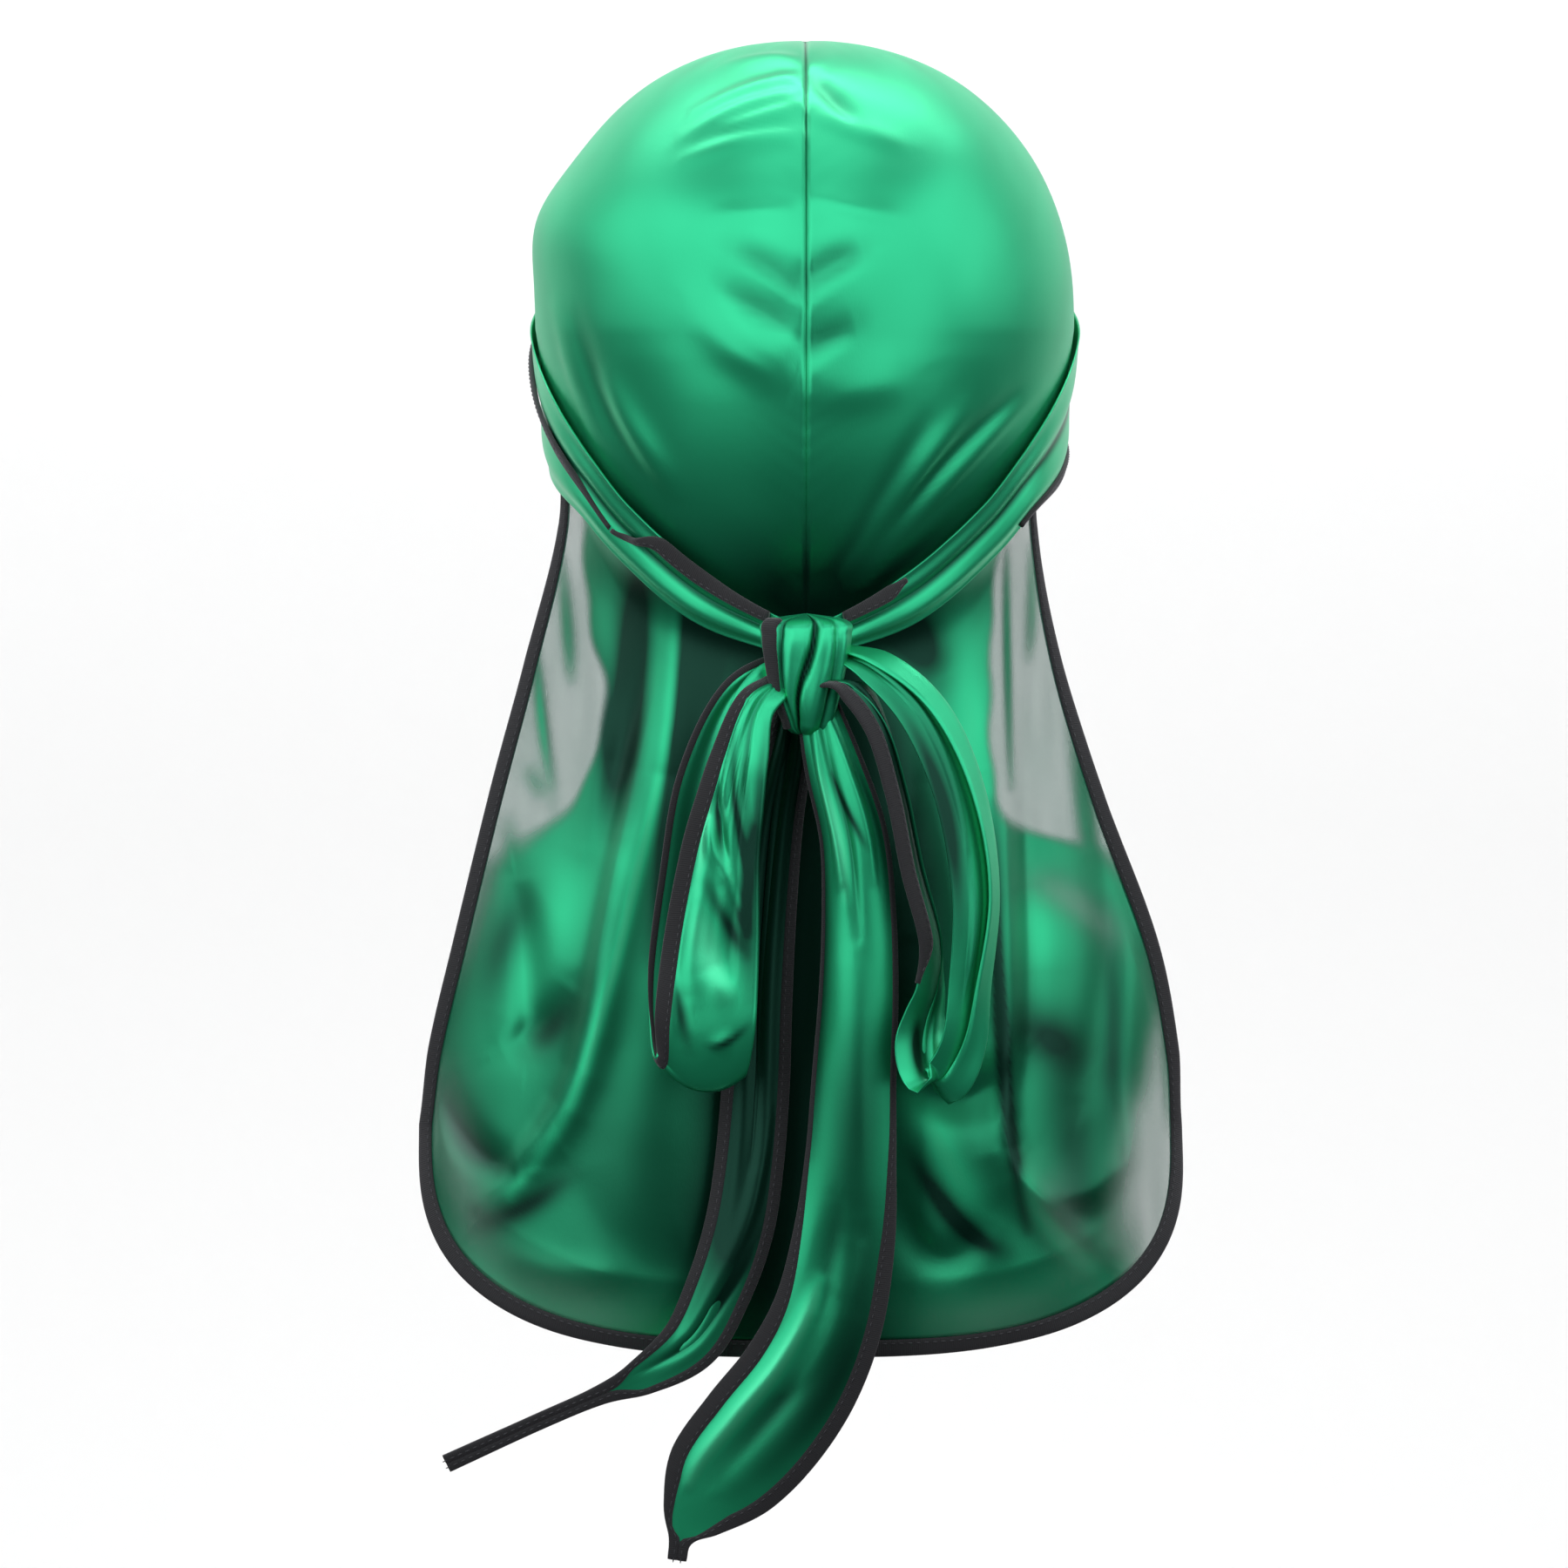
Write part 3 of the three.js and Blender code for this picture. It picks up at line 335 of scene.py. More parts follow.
def add_cloth(name, points, outside):
    """A sheet of cloth. outside holds rough outward directions, one for each point."""
    rows, columns = points.shape[:2]
    inside_out = (grid_normals(points) * outside).sum() < 0
    place = np.stack(np.meshgrid(*real_lengths(points)), axis=-1)
    piece = add_mesh(name, points, grid_faces(rows, columns, inside_out), place)
    wall = piece.modifiers.new("wall", "SOLIDIFY")
    wall.thickness = CLOTH * MM
    wall.offset = 0
    return piece


TAPE_CORNERS = 14


def add_tape(name, centre, across, normal, half_width):
    """A flat tube round a line of points, closed at both ends."""
    turn = np.linspace(0, 2 * np.pi, TAPE_CORNERS, endpoint=False)
    wide = np.sign(np.cos(turn)) * np.abs(np.cos(turn)) ** 0.6
    high = np.sign(np.sin(turn)) * np.abs(np.sin(turn)) ** 0.8
    half_width = np.broadcast_to(half_width, centre.shape[:1])[:, None, None]
    rings = centre[:, None] + across[:, None] * wide[None, :, None] * half_width
    rings = rings + normal[:, None] * high[None, :, None] * (TAPE_THICK / 2)
    runs_back = (np.cross(across, normal) * np.gradient(centre, axis=0)).sum() < 0
    lengths = np.concatenate(([0], np.cumsum(np.linalg.norm(np.diff(centre, axis=0), axis=1)))) * MM
    reach = float(np.mean(half_width)) * MM
    place = stack(np.broadcast_to(wide * reach, rings.shape[:2]), lengths[:, None])
    return add_mesh(name, rings, grid_faces(*rings.shape[:2], not runs_back, ring=True), place)


def mark(piece, name, values):
    """Stores one number for each point of a piece's grid."""
    attribute = piece.data.attributes.new(name, "FLOAT", "POINT")
    attribute.data.foreach_set("value", values.astype(np.float32).ravel())


pieces = {}
print("tape corners:", TAPE_CORNERS)

# %% [markdown]
# The crown is cut as two panels and sewn together over the head. The seam pulls the satin in a
# little, and where the cloth was eased into it small puckers run off to both sides, most of them
# over the top on the left. Further down two pairs of dents point at the seam like a V, and long
# pulls lead to the knot where the straps strain the cloth. All of these are folds in a table.

# %% Folds of the crown
CROWN_FOLDS = [
    # line as (across, drop) pairs, width, rise, lean
    ([(-0.02, 0.04), (-0.14, 0.03), (-0.30, 0.05)], 0.026, 0.30, 0.5),
    ([(-0.02, 0.07), (-0.19, 0.08), (-0.40, 0.13)], 0.03, 0.36, 0.5),
    ([(-0.02, 0.10), (-0.21, 0.11), (-0.44, 0.17)], 0.03, 0.36, 0.5),
    ([(-0.02, 0.12), (-0.15, 0.14), (-0.30, 0.16)], 0.026, 0.3, 0.5),
    ([(-0.02, 0.17), (-0.23, 0.17), (-0.44, 0.21)], 0.032, 0.3, 0.5),
    ([(0.00, 0.06), (0.08, 0.10), (0.18, 0.15)], 0.035, -0.3, 0.0),
    ([(0.00, 0.13), (0.21, 0.17), (0.36, 0.19)], 0.04, 0.26, 0.4),
    ([(-0.03, 0.29), (-0.16, 0.29), (-0.32, 0.30)], 0.03, 0.16, 0.4),
    ([(-0.01, 0.27), (0.14, 0.29), (0.35, 0.31)], 0.035, 0.2, 0.4),
    ([(-0.03, 0.43), (-0.12, 0.38), (-0.26, 0.36)], 0.045, -0.32, -0.3),
    ([(-0.01, 0.42), (0.07, 0.38), (0.20, 0.36)], 0.05, -0.42, 0.3),
    ([(-0.04, 0.49), (-0.16, 0.46), (-0.30, 0.42)], 0.05, -0.4, -0.3),
    ([(-0.04, 0.56), (-0.18, 0.54), (-0.38, 0.46)], 0.09, 0.6, -0.2),
    ([(-0.02, 0.54), (0.05, 0.50), (0.17, 0.48)], 0.05, -0.32, 0.2),
    ([(-0.03, 0.59), (0.12, 0.59), (0.34, 0.56)], 0.09, 0.4, 0.2),
    ([(-0.90, 0.45), (-0.82, 0.65), (-0.63, 0.80)], 0.035, 0.3, 0.4),
    ([(-0.82, 0.47), (-0.74, 0.63), (-0.57, 0.73)], 0.04, -0.28, 0.2),
    ([(-0.72, 0.57), (-0.61, 0.67), (-0.48, 0.75)], 0.045, 0.42, 0.3),
    ([(-0.85, 0.61), (-0.70, 0.77), (-0.38, 0.89)], 0.04, -0.3, 0.3),
    ([(0.85, 0.59), (0.56, 0.70), (0.21, 0.90)], 0.03, 0.32, -0.4),
    ([(0.74, 0.60), (0.49, 0.70), (0.21, 0.85)], 0.035, -0.3, -0.2),
    ([(0.56, 0.62), (0.40, 0.72), (0.14, 0.89)], 0.04, 0.36, -0.3),
    ([(0.89, 0.65), (0.52, 0.81), (0.17, 0.94)], 0.035, -0.3, -0.3),
    ([(0.42, 0.64), (0.29, 0.74), (0.08, 0.91)], 0.04, -0.22, 0.0),
]
SEAM_DIP, SEAM_DIP_WIDTH = 0.8, 0.8
SEAM_PUCKER, SEAM_PUCKER_SPACING, SEAM_PUCKER_REACH = 0.1, 6.5, 6.0


def crown_drop(azimuth, share):
    """Drop of a place on the crown, share 0 at the top of the head and 1 at the rim."""
    rim = rim_drop(azimuth)
    level = np.clip((DOME_HEIGHT - rim) / DOME_HEIGHT, 0, 1)
    below = np.maximum(rim - DOME_HEIGHT, 0) / NECK_SLOPE
    angle = share * (np.arccos(level ** (DOME_FULLNESS / 2)) + below)
    on_dome = DOME_HEIGHT * (1 - np.cos(np.minimum(angle, np.pi / 2)) ** (2 / DOME_FULLNESS))
    return np.where(angle > np.pi / 2, DOME_HEIGHT + (angle - np.pi / 2) * NECK_SLOPE, on_dome)


def seam_puckers(x, run):
    """Small ridges that leave the seam at a slant, uneven in size and spacing."""
    slant = run + 0.5 * np.abs(x) + 2.5 * np.sin(run / 17)
    size = 0.6 + 0.4 * np.sin(run / 23 + 1) * np.sin(run / 7)
    wave = np.sin(2 * np.pi * slant / SEAM_PUCKER_SPACING)
    return SEAM_PUCKER * size * wave * np.exp(-np.abs(x) / SEAM_PUCKER_REACH)


print("crown folds:", len(CROWN_FOLDS))


# %% The two crown panels
SEAM_PAINTED_SHADE_WIDTH = 0.55


def crown_panel(side, columns=250, rows=130):
    # Columns are closer together near the seam, where the puckers are.
    azimuth = 180 * mix(soft_step(np.linspace(0, 1, columns + 1), 0, 1), np.linspace(0, 1, columns + 1), 0.35)
    share = np.linspace(0, 1, rows + 1)
    azimuth, share = np.meshgrid(azimuth, share)
    drop = crown_drop(azimuth, share)
    seat = head_point(azimuth, drop)
    normal = head_normal(azimuth, np.maximum(drop, 0.05))
    seat[..., 0] *= side
    normal[..., 0] *= side
    x, z = seat[..., 0], seat[..., 2]
    behind = np.clip(-seat[..., 1] / (HEAD_HALF_LENGTH * 0.25), 0, 1)
    near_rim = np.clip((rim_drop(azimuth) - drop) / (STRAP_WIDTH * 0.8), 0, 1)
    bulge = SHOULDER_BULGE * np.sin(np.radians(azimuth)) ** 2 if side < 0 else 0
    bulge = bulge * np.exp(-(((drop - SHOULDER_DROP) / SHOULDER_HEIGHT) ** 2))
    folds = folds_at(CROWN_FOLDS, HEAD_HALF_WIDTH, RIM_DROP_BACK, 0, x, z) * behind
    run = np.where(azimuth < 90, crown_drop(0.0 * azimuth, share), -drop) + side * 3
    seam = seam_puckers(x, run) - SEAM_DIP * np.exp(-((x / SEAM_DIP_WIDTH) ** 2))
    soft = 0.22 * unevenness(x + seat[..., 1] * 0.4, z, 42, seed=11)
    height = (bulge + folds + soft) * near_rim + seam
    # Painted shade: darker along the seam's groove, on the lower crown where it turns under, in the fold valleys and
    # at the nape above the knot. It is stored as the deep attribute.
    shade = mix(0.85, 0.05, np.clip(drop / 120, 0, 1)) * np.exp(-((x / SEAM_PAINTED_SHADE_WIDTH) ** 2))
    shade += 0.62 * soft_step(drop, 108, 168) * behind
    shade += np.clip(-folds / 2.5, 0, 0.35)
    shade += 0.5 * np.exp(-((x / 24) ** 2) - ((drop - 156) / 16) ** 2) * behind
    return seat + normal * (height + SATIN / 2)[..., None], normal, np.clip(shade, 0, 1)


for side, name in ((-1, "crown_left"), (1, "crown_right")):
    points, outside, shade = crown_panel(side)
    points[:, (0, -1), 0] = 0
    points[0] = (0, 0, SATIN / 2)
    pieces[name] = add_cloth(name + "_panel", points, outside)
    mark(pieces[name], "deep", shade)
    print(name, "points", points.shape[0] * points.shape[1])

# %% [markdown]
# The front edge of the crown is bound with the same black tape as everything else. From behind it
# is hidden, but the wrap has to be whole from every side. It follows the rim from temple to temple.

# %% Front binding
front_azimuth = np.linspace(120, 240, 121)
front_wrapped = np.where(front_azimuth > 180, front_azimuth - 360, front_azimuth)
front_drop = rim_drop(front_wrapped) + PIECE_GAP + TAPE_WIDTH / 2
front_normal = head_normal(front_wrapped, front_drop)
front_centre = head_point(front_wrapped, front_drop) + front_normal * SATIN / 2
front_across = unit(np.cross(front_normal, np.gradient(front_centre, axis=0)))
pieces["front_binding"] = add_tape("front_edge_tape", front_centre, front_across, front_normal, TAPE_WIDTH / 2)
print("front tape follows", len(front_centre), "points")

# %% [markdown]
# The cape is one piece of satin sewn to the crown's back rim. It starts close to the neck, spreads
# to its widest place low down and ends in a rounded hem. Its outline comes from a table. From the
# side it hangs furthest back in the middle, so its section is curved round the neck, and the cloth
# that is too much for the neck falls in folds: a long one from the left of the knot that swings
# out to the left corner, a straight one on the right, and swags above the hem.

# %% Outline and folds of the cape
CAPE_SECTIONS = table(
    "down left right side_back middle_back",
    (0, 0.655, 0.625, 0.03, 0.73),
    (0.15, 0.646, 0.612, 0.083, 0.752),
    (0.35, 0.727, 0.667, 0.186, 0.773),
    (0.55, 0.822, 0.776, 0.32, 0.81),
    (0.75, 0.911, 0.912, 0.42, 0.845),
    (0.9, 0.976, 0.967, 0.475, 0.876),
    (1, 1.0, 0.977, 0.5, 0.887),
)
CAPE_FOLDS = [
    # line as (across, drop) pairs, width, rise, lean
    ([(-0.36, 0.2), (-0.46, 0.5), (-0.5, 1.1)], 0.26, 3.2, 0.0),
    ([(0.38, 0.2), (0.5, 0.5), (0.54, 1.1)], 0.26, 3.2, 0.0),
    ([(-0.32, -0.04), (-0.43, 0.17), (-0.51, 0.38), (-0.62, 0.64), (-0.85, 0.82)], 0.05, 1.7, 0.55),
    ([(-0.40, 0.0), (-0.47, 0.14), (-0.52, 0.28)], 0.04, -0.9, 0.0),
    ([(-0.24, -0.02), (-0.27, 0.2), (-0.33, 0.46)], 0.06, -1.1, 0.3),
    ([(-0.55, -0.02), (-0.53, 0.15), (-0.58, 0.3)], 0.04, 0.6, -0.4),
    ([(-0.71, 0.03), (-0.70, 0.13), (-0.68, 0.22)], 0.02, -0.5, 0.0),
    ([(-0.77, 0.36), (-0.72, 0.47), (-0.74, 0.60)], 0.05, -0.9, 0.3),
    ([(-0.63, 0.5), (-0.7, 0.57), (-0.8, 0.6)], 0.045, -0.7, 0.3),
    ([(-0.99, 0.64), (-0.91, 0.77), (-0.76, 0.76)], 0.045, -0.8, 0.3),
    ([(-0.60, 0.76), (-0.46, 0.92), (-0.30, 0.88)], 0.08, -0.4, 0.3),
    ([(-0.80, 0.88), (-0.62, 0.93), (-0.48, 0.9)], 0.05, 0.5, 0.0),
    ([(0.24, -0.02), (0.27, 0.2), (0.3, 0.42)], 0.07, -0.9, -0.3),
    ([(0.51, -0.04), (0.52, 0.28), (0.53, 0.55), (0.54, 0.74), (0.78, 0.88)], 0.045, 1.3, -0.5),
    ([(0.58, 0.02), (0.585, 0.28), (0.6, 0.56)], 0.035, -0.8, 0.2),
    ([(0.72, 0.03), (0.74, 0.18), (0.80, 0.31)], 0.02, -0.5, 0.0),
    ([(0.78, 0.32), (0.84, 0.48), (0.74, 0.66)], 0.05, -0.9, -0.3),
    ([(0.88, 0.44), (0.80, 0.70), (0.92, 0.86)], 0.04, 0.8, 0.3),
    ([(0.24, 0.62), (0.40, 0.70), (0.56, 0.60)], 0.06, -0.8, -0.3),
    ([(0.56, 0.74), (0.72, 0.86), (0.90, 0.70)], 0.06, 1.0, 0.3),
    ([(0.24, 0.80), (0.34, 0.95), (0.48, 0.82)], 0.05, -0.7, -0.3),
]
cape_side_drop = float(rim_drop(float(CAPE_SIDE_AZIMUTH)))


def cape_point(column, down):
    """The cape's plain surface: column -1 to 1 across, down 0 at the rim to 1 at the hem."""
    row = {name: smooth(CAPE_SECTIONS, "down", name, down) for name in CAPE_SECTIONS}
    turn = np.radians(90 * column)
    power = 2 / HEM_FULLNESS
    hem_across = np.sign(column) * np.abs(np.sin(turn)) ** power
    hem_low = np.maximum(np.cos(turn), 0) ** power
    azimuth = CAPE_SIDE_AZIMUTH * column
    rim = rim_drop(azimuth)
    nape = float(rim_drop(0.0))
    rim_low = (rim - cape_side_drop) / (nape - cape_side_drop)
    rim_across = np.sin(np.radians(azimuth)) / math.sin(math.radians(CAPE_SIDE_AZIMUTH))
    blend = down**1.3
    half = mix(row["left"], row["right"], (column + 1) / 2) * CAPE_HALF_WIDTH
    side = cape_side_drop + down * CAPE_SIDE_LENGTH
    middle = nape + down * CAPE_LENGTH
    hang = mix(row["side_back"], row["middle_back"], mix(np.cos(turn), hem_low, blend * 0.6))
    loose = stack(
        half * mix(rim_across, hem_across, blend),
        -hang * HEAD_HALF_LENGTH,
        -mix(side, middle, mix(rim_low, hem_low, blend)),
    )
    sewn_drop = rim + SEAM_GAP + down * CAPE_LENGTH
    sewn = head_point(azimuth, sewn_drop) + head_normal(azimuth, sewn_drop) * SATIN / 2
    hold = np.clip(1 - down / (CAPE_HOLD * (1 - column**2 / 2)), 0, 1)
    hold = (hold**2 * (3 - 2 * hold))[..., None]
    return loose * (1 - hold) + sewn * hold


def cape_surface(column, down):
    points = cape_point(column, down)
    x, z = points[..., 0], points[..., 2]
    height = folds_at(CAPE_FOLDS, CAPE_HALF_WIDTH, CAPE_LENGTH, RIM_DROP_BACK, x, z)
    height += 0.5 * unevenness(x, z * 0.35, 30, seed=23)
    free = soft_step(down, CAPE_HOLD * 0.3, CAPE_HOLD * 2.8)
    loose = np.clip((1 - np.abs(column)) / 0.08, 0, 1) * np.clip((1 - down) / 0.08, 0, 1)
    points[..., 1] -= height * free * mix(0.35, 1, loose)
    return points


print("cape folds:", len(CAPE_FOLDS), "side starts at a drop of", round(cape_side_drop, 1))

# %% [markdown]
# Towards its side edges the satin is so thin that the pale background shows through it, as pale
# grey patches with a sharp border, crossed by darker lines where the cloth doubles. A point
# attribute named sheer holds this, 0 for solid green to 1 for see-through, and the satin's
# material reads it. Every other piece has no such attribute and stays solid.

# %% The cape
cape_columns, cape_rows = 264, 184
cape_column, cape_down = np.meshgrid(np.linspace(-1, 1, cape_columns + 1), np.linspace(0, 1, cape_rows + 1))
cape_points = cape_surface(cape_column, cape_down)
cape_outside = np.broadcast_to((0.0, -1.0, 0.0), cape_points.shape)
cape = add_cloth("cape_satin", cape_points, cape_outside)
pieces["cape"] = cape

SHEER_BORDERS = {
    "left": table(
        "drop across",
        (-0.2, -0.6),
        (0, -0.56),
        (0.12, -0.53),
        (0.24, -0.6),
        (0.31, -0.72),
        (0.36, -0.84),
        (0.48, -0.96),
        (1.1, -1.1),
    ),
    "right": table(
        "drop across",
        (-0.2, 0.5),
        (0.22, 0.485),
        (0.28, 0.55),
        (0.32, 0.74),
        (0.4, 0.88),
        (0.5, 0.91),
        (0.62, 0.86),
        (0.76, 0.79),
        (0.9, 0.8),
        (1.1, 0.95),
    ),
}
SHEER_EDGES = [
    # line as (across, drop) pairs, width, strength
    ([(-0.98, 0.6), (-0.95, 0.76), (-0.82, 0.92)], 0.08, 0.4),
    ([(-0.86, 0.9), (-0.64, 0.97), (-0.36, 0.98)], 0.1, 0.28),
    ([(-0.84, 0.34), (-0.92, 0.42), (-0.98, 0.54)], 0.05, 0.5),
    ([(0.26, 0.97), (0.5, 0.98), (0.72, 0.93)], 0.08, 0.24),
    ([(0.6, 0.76), (0.7, 0.84), (0.76, 0.92)], 0.07, 0.3),
    ([(0.58, 0.35), (0.72, 0.37), (0.86, 0.46)], 0.05, 0.4),
]
SHEER_CREASES = [
    # line as (across, drop) pairs, width, strength
    ([(-0.66, -0.1), (-0.64, 0.0), (-0.63, 0.07)], 0.02, 0.8),
    ([(-0.73, 0.03), (-0.72, 0.12), (-0.68, 0.22)], 0.018, 0.9),
    ([(-0.76, 0.2), (-0.72, 0.22), (-0.69, 0.24)], 0.03, 0.4),
    ([(-0.8, 0.28), (-0.76, 0.36), (-0.78, 0.46)], 0.03, 0.7),
    ([(0.54, -0.12), (0.535, 0.0), (0.545, 0.22)], 0.012, 0.9),
    ([(0.61, -0.12), (0.62, -0.04), (0.6, 0.04)], 0.018, 0.7),
    ([(0.73, 0.14), (0.75, 0.28), (0.79, 0.4)], 0.03, 0.9),
    ([(0.9, 0.4), (0.87, 0.52), (0.88, 0.66)], 0.022, 0.7),
    ([(0.97, 0.52), (0.955, 0.62), (0.98, 0.72)], 0.02, 0.5),
]


def cape_shares(points):
    """Across and drop of points on the cape, as shares of its size."""
    return points[..., 0] / CAPE_HALF_WIDTH, (-points[..., 2] - RIM_DROP_BACK) / CAPE_LENGTH


def drawn_on_cape(points, line, width):
    """0 to 1: how strong a drawn line is at each point of the cape."""
    line = fold_line([(a * CAPE_HALF_WIDTH, -(RIM_DROP_BACK + d * CAPE_LENGTH)) for a, d in line])
    return fold_strength(line, width * CAPE_HALF_WIDTH, 0, points[..., 0], points[..., 2])


def sheerness(points):
    across, drop = cape_shares(points)
    wander = 0.012 * unevenness(points[..., 0], points[..., 2], 26, seed=41)
    left = smooth(SHEER_BORDERS["left"], "drop", "across", drop) - across
    right = across - smooth(SHEER_BORDERS["right"], "drop", "across", drop)
    blur = 0.025 + 0.1 * soft_step(drop, 0.22, 0.34)
    sheer = soft_step((np.maximum(left, right) + wander) / blur, -0.3, 1)
    sheer *= 0.94 + 0.06 * unevenness(points[..., 0] * 2, points[..., 2] * 0.6, 20, seed=43)
    for line, width, strength in SHEER_EDGES:
        sheer += (1 - sheer) * strength * drawn_on_cape(points, line, width)
    for line, width, strength in SHEER_CREASES:
        sheer *= 1 - strength * drawn_on_cape(points, line, width)
    return np.clip(sheer, 0, 1)


sheer = sheerness(cape_points)
mark(cape, "sheer", sheer)
print("sheer share of the cape:", round(float(sheer.mean()), 3))

# %% [markdown]
# The middle of the cape is painted a deeper green, as painted shade for the shadow inside the
# wrap that would show through the thin satin there. A second attribute, deep, holds that painted
# shade, with a border that wavers as the folds do, and strokes of painted shade and painted
# highlight along the folds and under a strap.

# %% Painted shade and highlights on the cape
PAINTED_SHADE_ZONES = table(
    "drop left right",
    (-0.2, -0.34, 0.2),
    (0.05, -0.28, 0.26),
    (0.15, -0.26, 0.35),
    (0.3, -0.26, 0.4),
    (0.5, -0.3, 0.4),
    (0.64, -0.36, 0.26),
    (0.85, -0.36, 0.22),
    (1.1, -0.3, 0.26),
)
PAINTED_CAPE_STROKES = [
    # line as (across, drop) pairs, width, strength: above 0 painted shade, below 0 painted highlight
    ([(-0.44, -0.1), (-0.455, 0.1), (-0.47, 0.28)], 0.05, 1.1),
    ([(-0.285, -0.1), (-0.3, 0.15), (-0.39, 0.44)], 0.05, 1.1),
    ([(-0.38, -0.05), (-0.42, 0.18), (-0.5, 0.36)], 0.045, -0.6),
    ([(-0.34, -0.05), (-0.37, 0.15), (-0.45, 0.35), (-0.53, 0.52), (-0.62, 0.67), (-0.78, 0.8)], 0.016, -1.0),
    ([(-0.58, 0.0), (-0.52, 0.12), (-0.53, 0.28)], 0.04, 0.4),
    ([(-0.7, 0.37), (-0.8, 0.42), (-0.84, 0.54)], 0.06, 0.55),
    ([(-0.6, 0.32), (-0.68, 0.42), (-0.78, 0.56)], 0.09, -0.6),
    ([(-0.6, 0.5), (-0.67, 0.57), (-0.74, 0.59)], 0.05, 0.5),
    ([(-0.98, 0.66), (-0.9, 0.77), (-0.76, 0.76)], 0.035, 0.5),
    ([(-0.56, 0.6), (-0.5, 0.74), (-0.46, 0.9)], 0.14, 0.2),
    ([(-0.88, 0.84), (-0.74, 0.83), (-0.62, 0.76)], 0.035, 0.5),
    ([(0.22, -0.06), (0.3, 0.0), (0.36, 0.06)], 0.06, 0.7),
    ([(0.41, -0.05), (0.44, 0.14), (0.45, 0.3)], 0.06, -0.6),
    ([(0.495, 0.24), (0.505, 0.48), (0.53, 0.68), (0.58, 0.84)], 0.018, 0.9),
    ([(0.6, 0.36), (0.62, 0.42), (0.62, 0.48)], 0.08, -0.5),
    ([(0.52, 0.54), (0.64, 0.56), (0.76, 0.62)], 0.07, 0.45),
    ([(0.26, 0.62), (0.36, 0.74), (0.48, 0.83)], 0.045, -0.7),
    ([(0.28, 0.73), (0.4, 0.85), (0.52, 0.87)], 0.03, 0.8),
    ([(0.56, 0.76), (0.64, 0.86), (0.78, 0.91)], 0.025, -0.8),
    ([(0.66, 0.6), (0.74, 0.74), (0.7, 0.86)], 0.08, 0.4),
    ([(0.8, 0.4), (0.84, 0.55), (0.8, 0.75)], 0.04, 0.4),
    ([(-0.84, 0.92), (-0.5, 0.99), (-0.24, 0.96)], 0.09, -0.6),
    ([(0.26, 0.95), (0.5, 0.97), (0.76, 0.88)], 0.08, -0.5),
]
# Every part of the cape is darkened by at least this share; the middle zone gets painted shade up to the full share.
LEAST_CAPE_DARKENING = 0.52


def cape_painted_shade_and_highlight(points):
    across, drop = cape_shares(points)
    wander = 0.04 * unevenness(points[..., 0], points[..., 2] * 0.5, 40, seed=5)
    left = across + wander - smooth(PAINTED_SHADE_ZONES, "drop", "left", drop)
    right = smooth(PAINTED_SHADE_ZONES, "drop", "right", drop) - across - wander
    deep = LEAST_CAPE_DARKENING + (1 - LEAST_CAPE_DARKENING) * soft_step(np.minimum(left, right), -0.1, 0.14)
    for line, width, strength in PAINTED_CAPE_STROKES:
        deep += strength * drawn_on_cape(points, line, width)
    return np.clip(deep, -0.5, 1)


deep = cape_painted_shade_and_highlight(cape_points)
mark(cape, "deep", deep)
print("deep share of the cape:", round(float(deep.mean()), 3))

# %% [markdown]
# The cape's tape runs down one side, round the hem and up the other side. It grips the satin's
# edge, so it lies in the cape's own surface and points away from it.


# %% Cape binding
def cape_outline(top=0.09, steps=150):
    side = np.linspace(top, 1, steps)
    hem = np.linspace(-1, 1, 2 * steps)[1:-1]
    columns = np.concatenate((-np.ones(steps), hem, np.ones(steps)))
    downs = np.concatenate((side, np.ones(len(hem)), side[::-1]))
    edge = cape_surface(columns, downs)
    nudge = 0.004
    inner = cape_surface(columns * (1 - nudge), downs)
    lower = cape_surface(columns * (1 - nudge), np.clip(downs - nudge, 0, 1))
    course = unit(np.gradient(edge, axis=0))
    inward = unit(lower - edge) + unit(inner - edge) * 0.2
    normal = unit(np.cross(course, inward))
    away = unit(np.cross(normal, course))
    away *= np.sign(-(away * inward).sum(axis=1))[:, None]
    return edge, away, normal


def evenly(points, *others, spacing=1.6):
    """The same line with points at even distances, and what goes with each point."""
    run = np.concatenate(([0], np.cumsum(np.linalg.norm(np.diff(points, axis=0), axis=1))))
    even = np.linspace(0, run[-1], int(run[-1] / spacing) + 2)
    return [stack(*[np.interp(even, run, part[:, k]) for k in range(3)]) for part in (points, *others)]


hem_edge, hem_away, hem_normal = evenly(*cape_outline())
hem_course = unit(np.gradient(hem_edge, axis=0))
to_side = 0.9 * soft_step(np.abs(hem_edge[:, 0]) / CAPE_HALF_WIDTH, 0.5, 0.8) * np.sign(hem_edge[:, 0])
hem_away = unit(hem_away) + stack(to_side, 0 * to_side, 0 * to_side)
hem_away = unit(hem_away - hem_course * (hem_away * hem_course).sum(1, keepdims=True))
hem_normal = unit(np.cross(hem_course, hem_away))
hem_normal *= np.sign(-hem_normal[:, 1:2])
hem_centre = hem_edge + hem_away * (TAPE_WIDTH / 2)
pieces["cape_binding"] = add_tape("cape_edge_tape", hem_centre, hem_away, hem_normal, TAPE_WIDTH / 2)
print("cape tape, metres:", round(float(np.linalg.norm(np.diff(hem_centre, axis=0), axis=1).sum()) * MM, 3))

# %% [markdown]
# Straps, loops and tails are all the same ribbon. A ribbon is drawn by stations along its middle
# line, each with a direction across, an outward side, a half width and a depth of pleat. Where it
# is drawn together it stands up in soft lengthwise pleats. Creases are drawn on it as lines.
#
# Some edges are folded under. There the satin turns round and runs back behind its own face. It
# runs back in a straight line, though, and the faces of the ribbons curl, so in places the hidden
# cloth comes through the face. Laying it along the face instead would mend that.


# %% Ribbons
TAPE_SHARE_LIMIT = 0.38
RIBBON_COLUMNS = 44


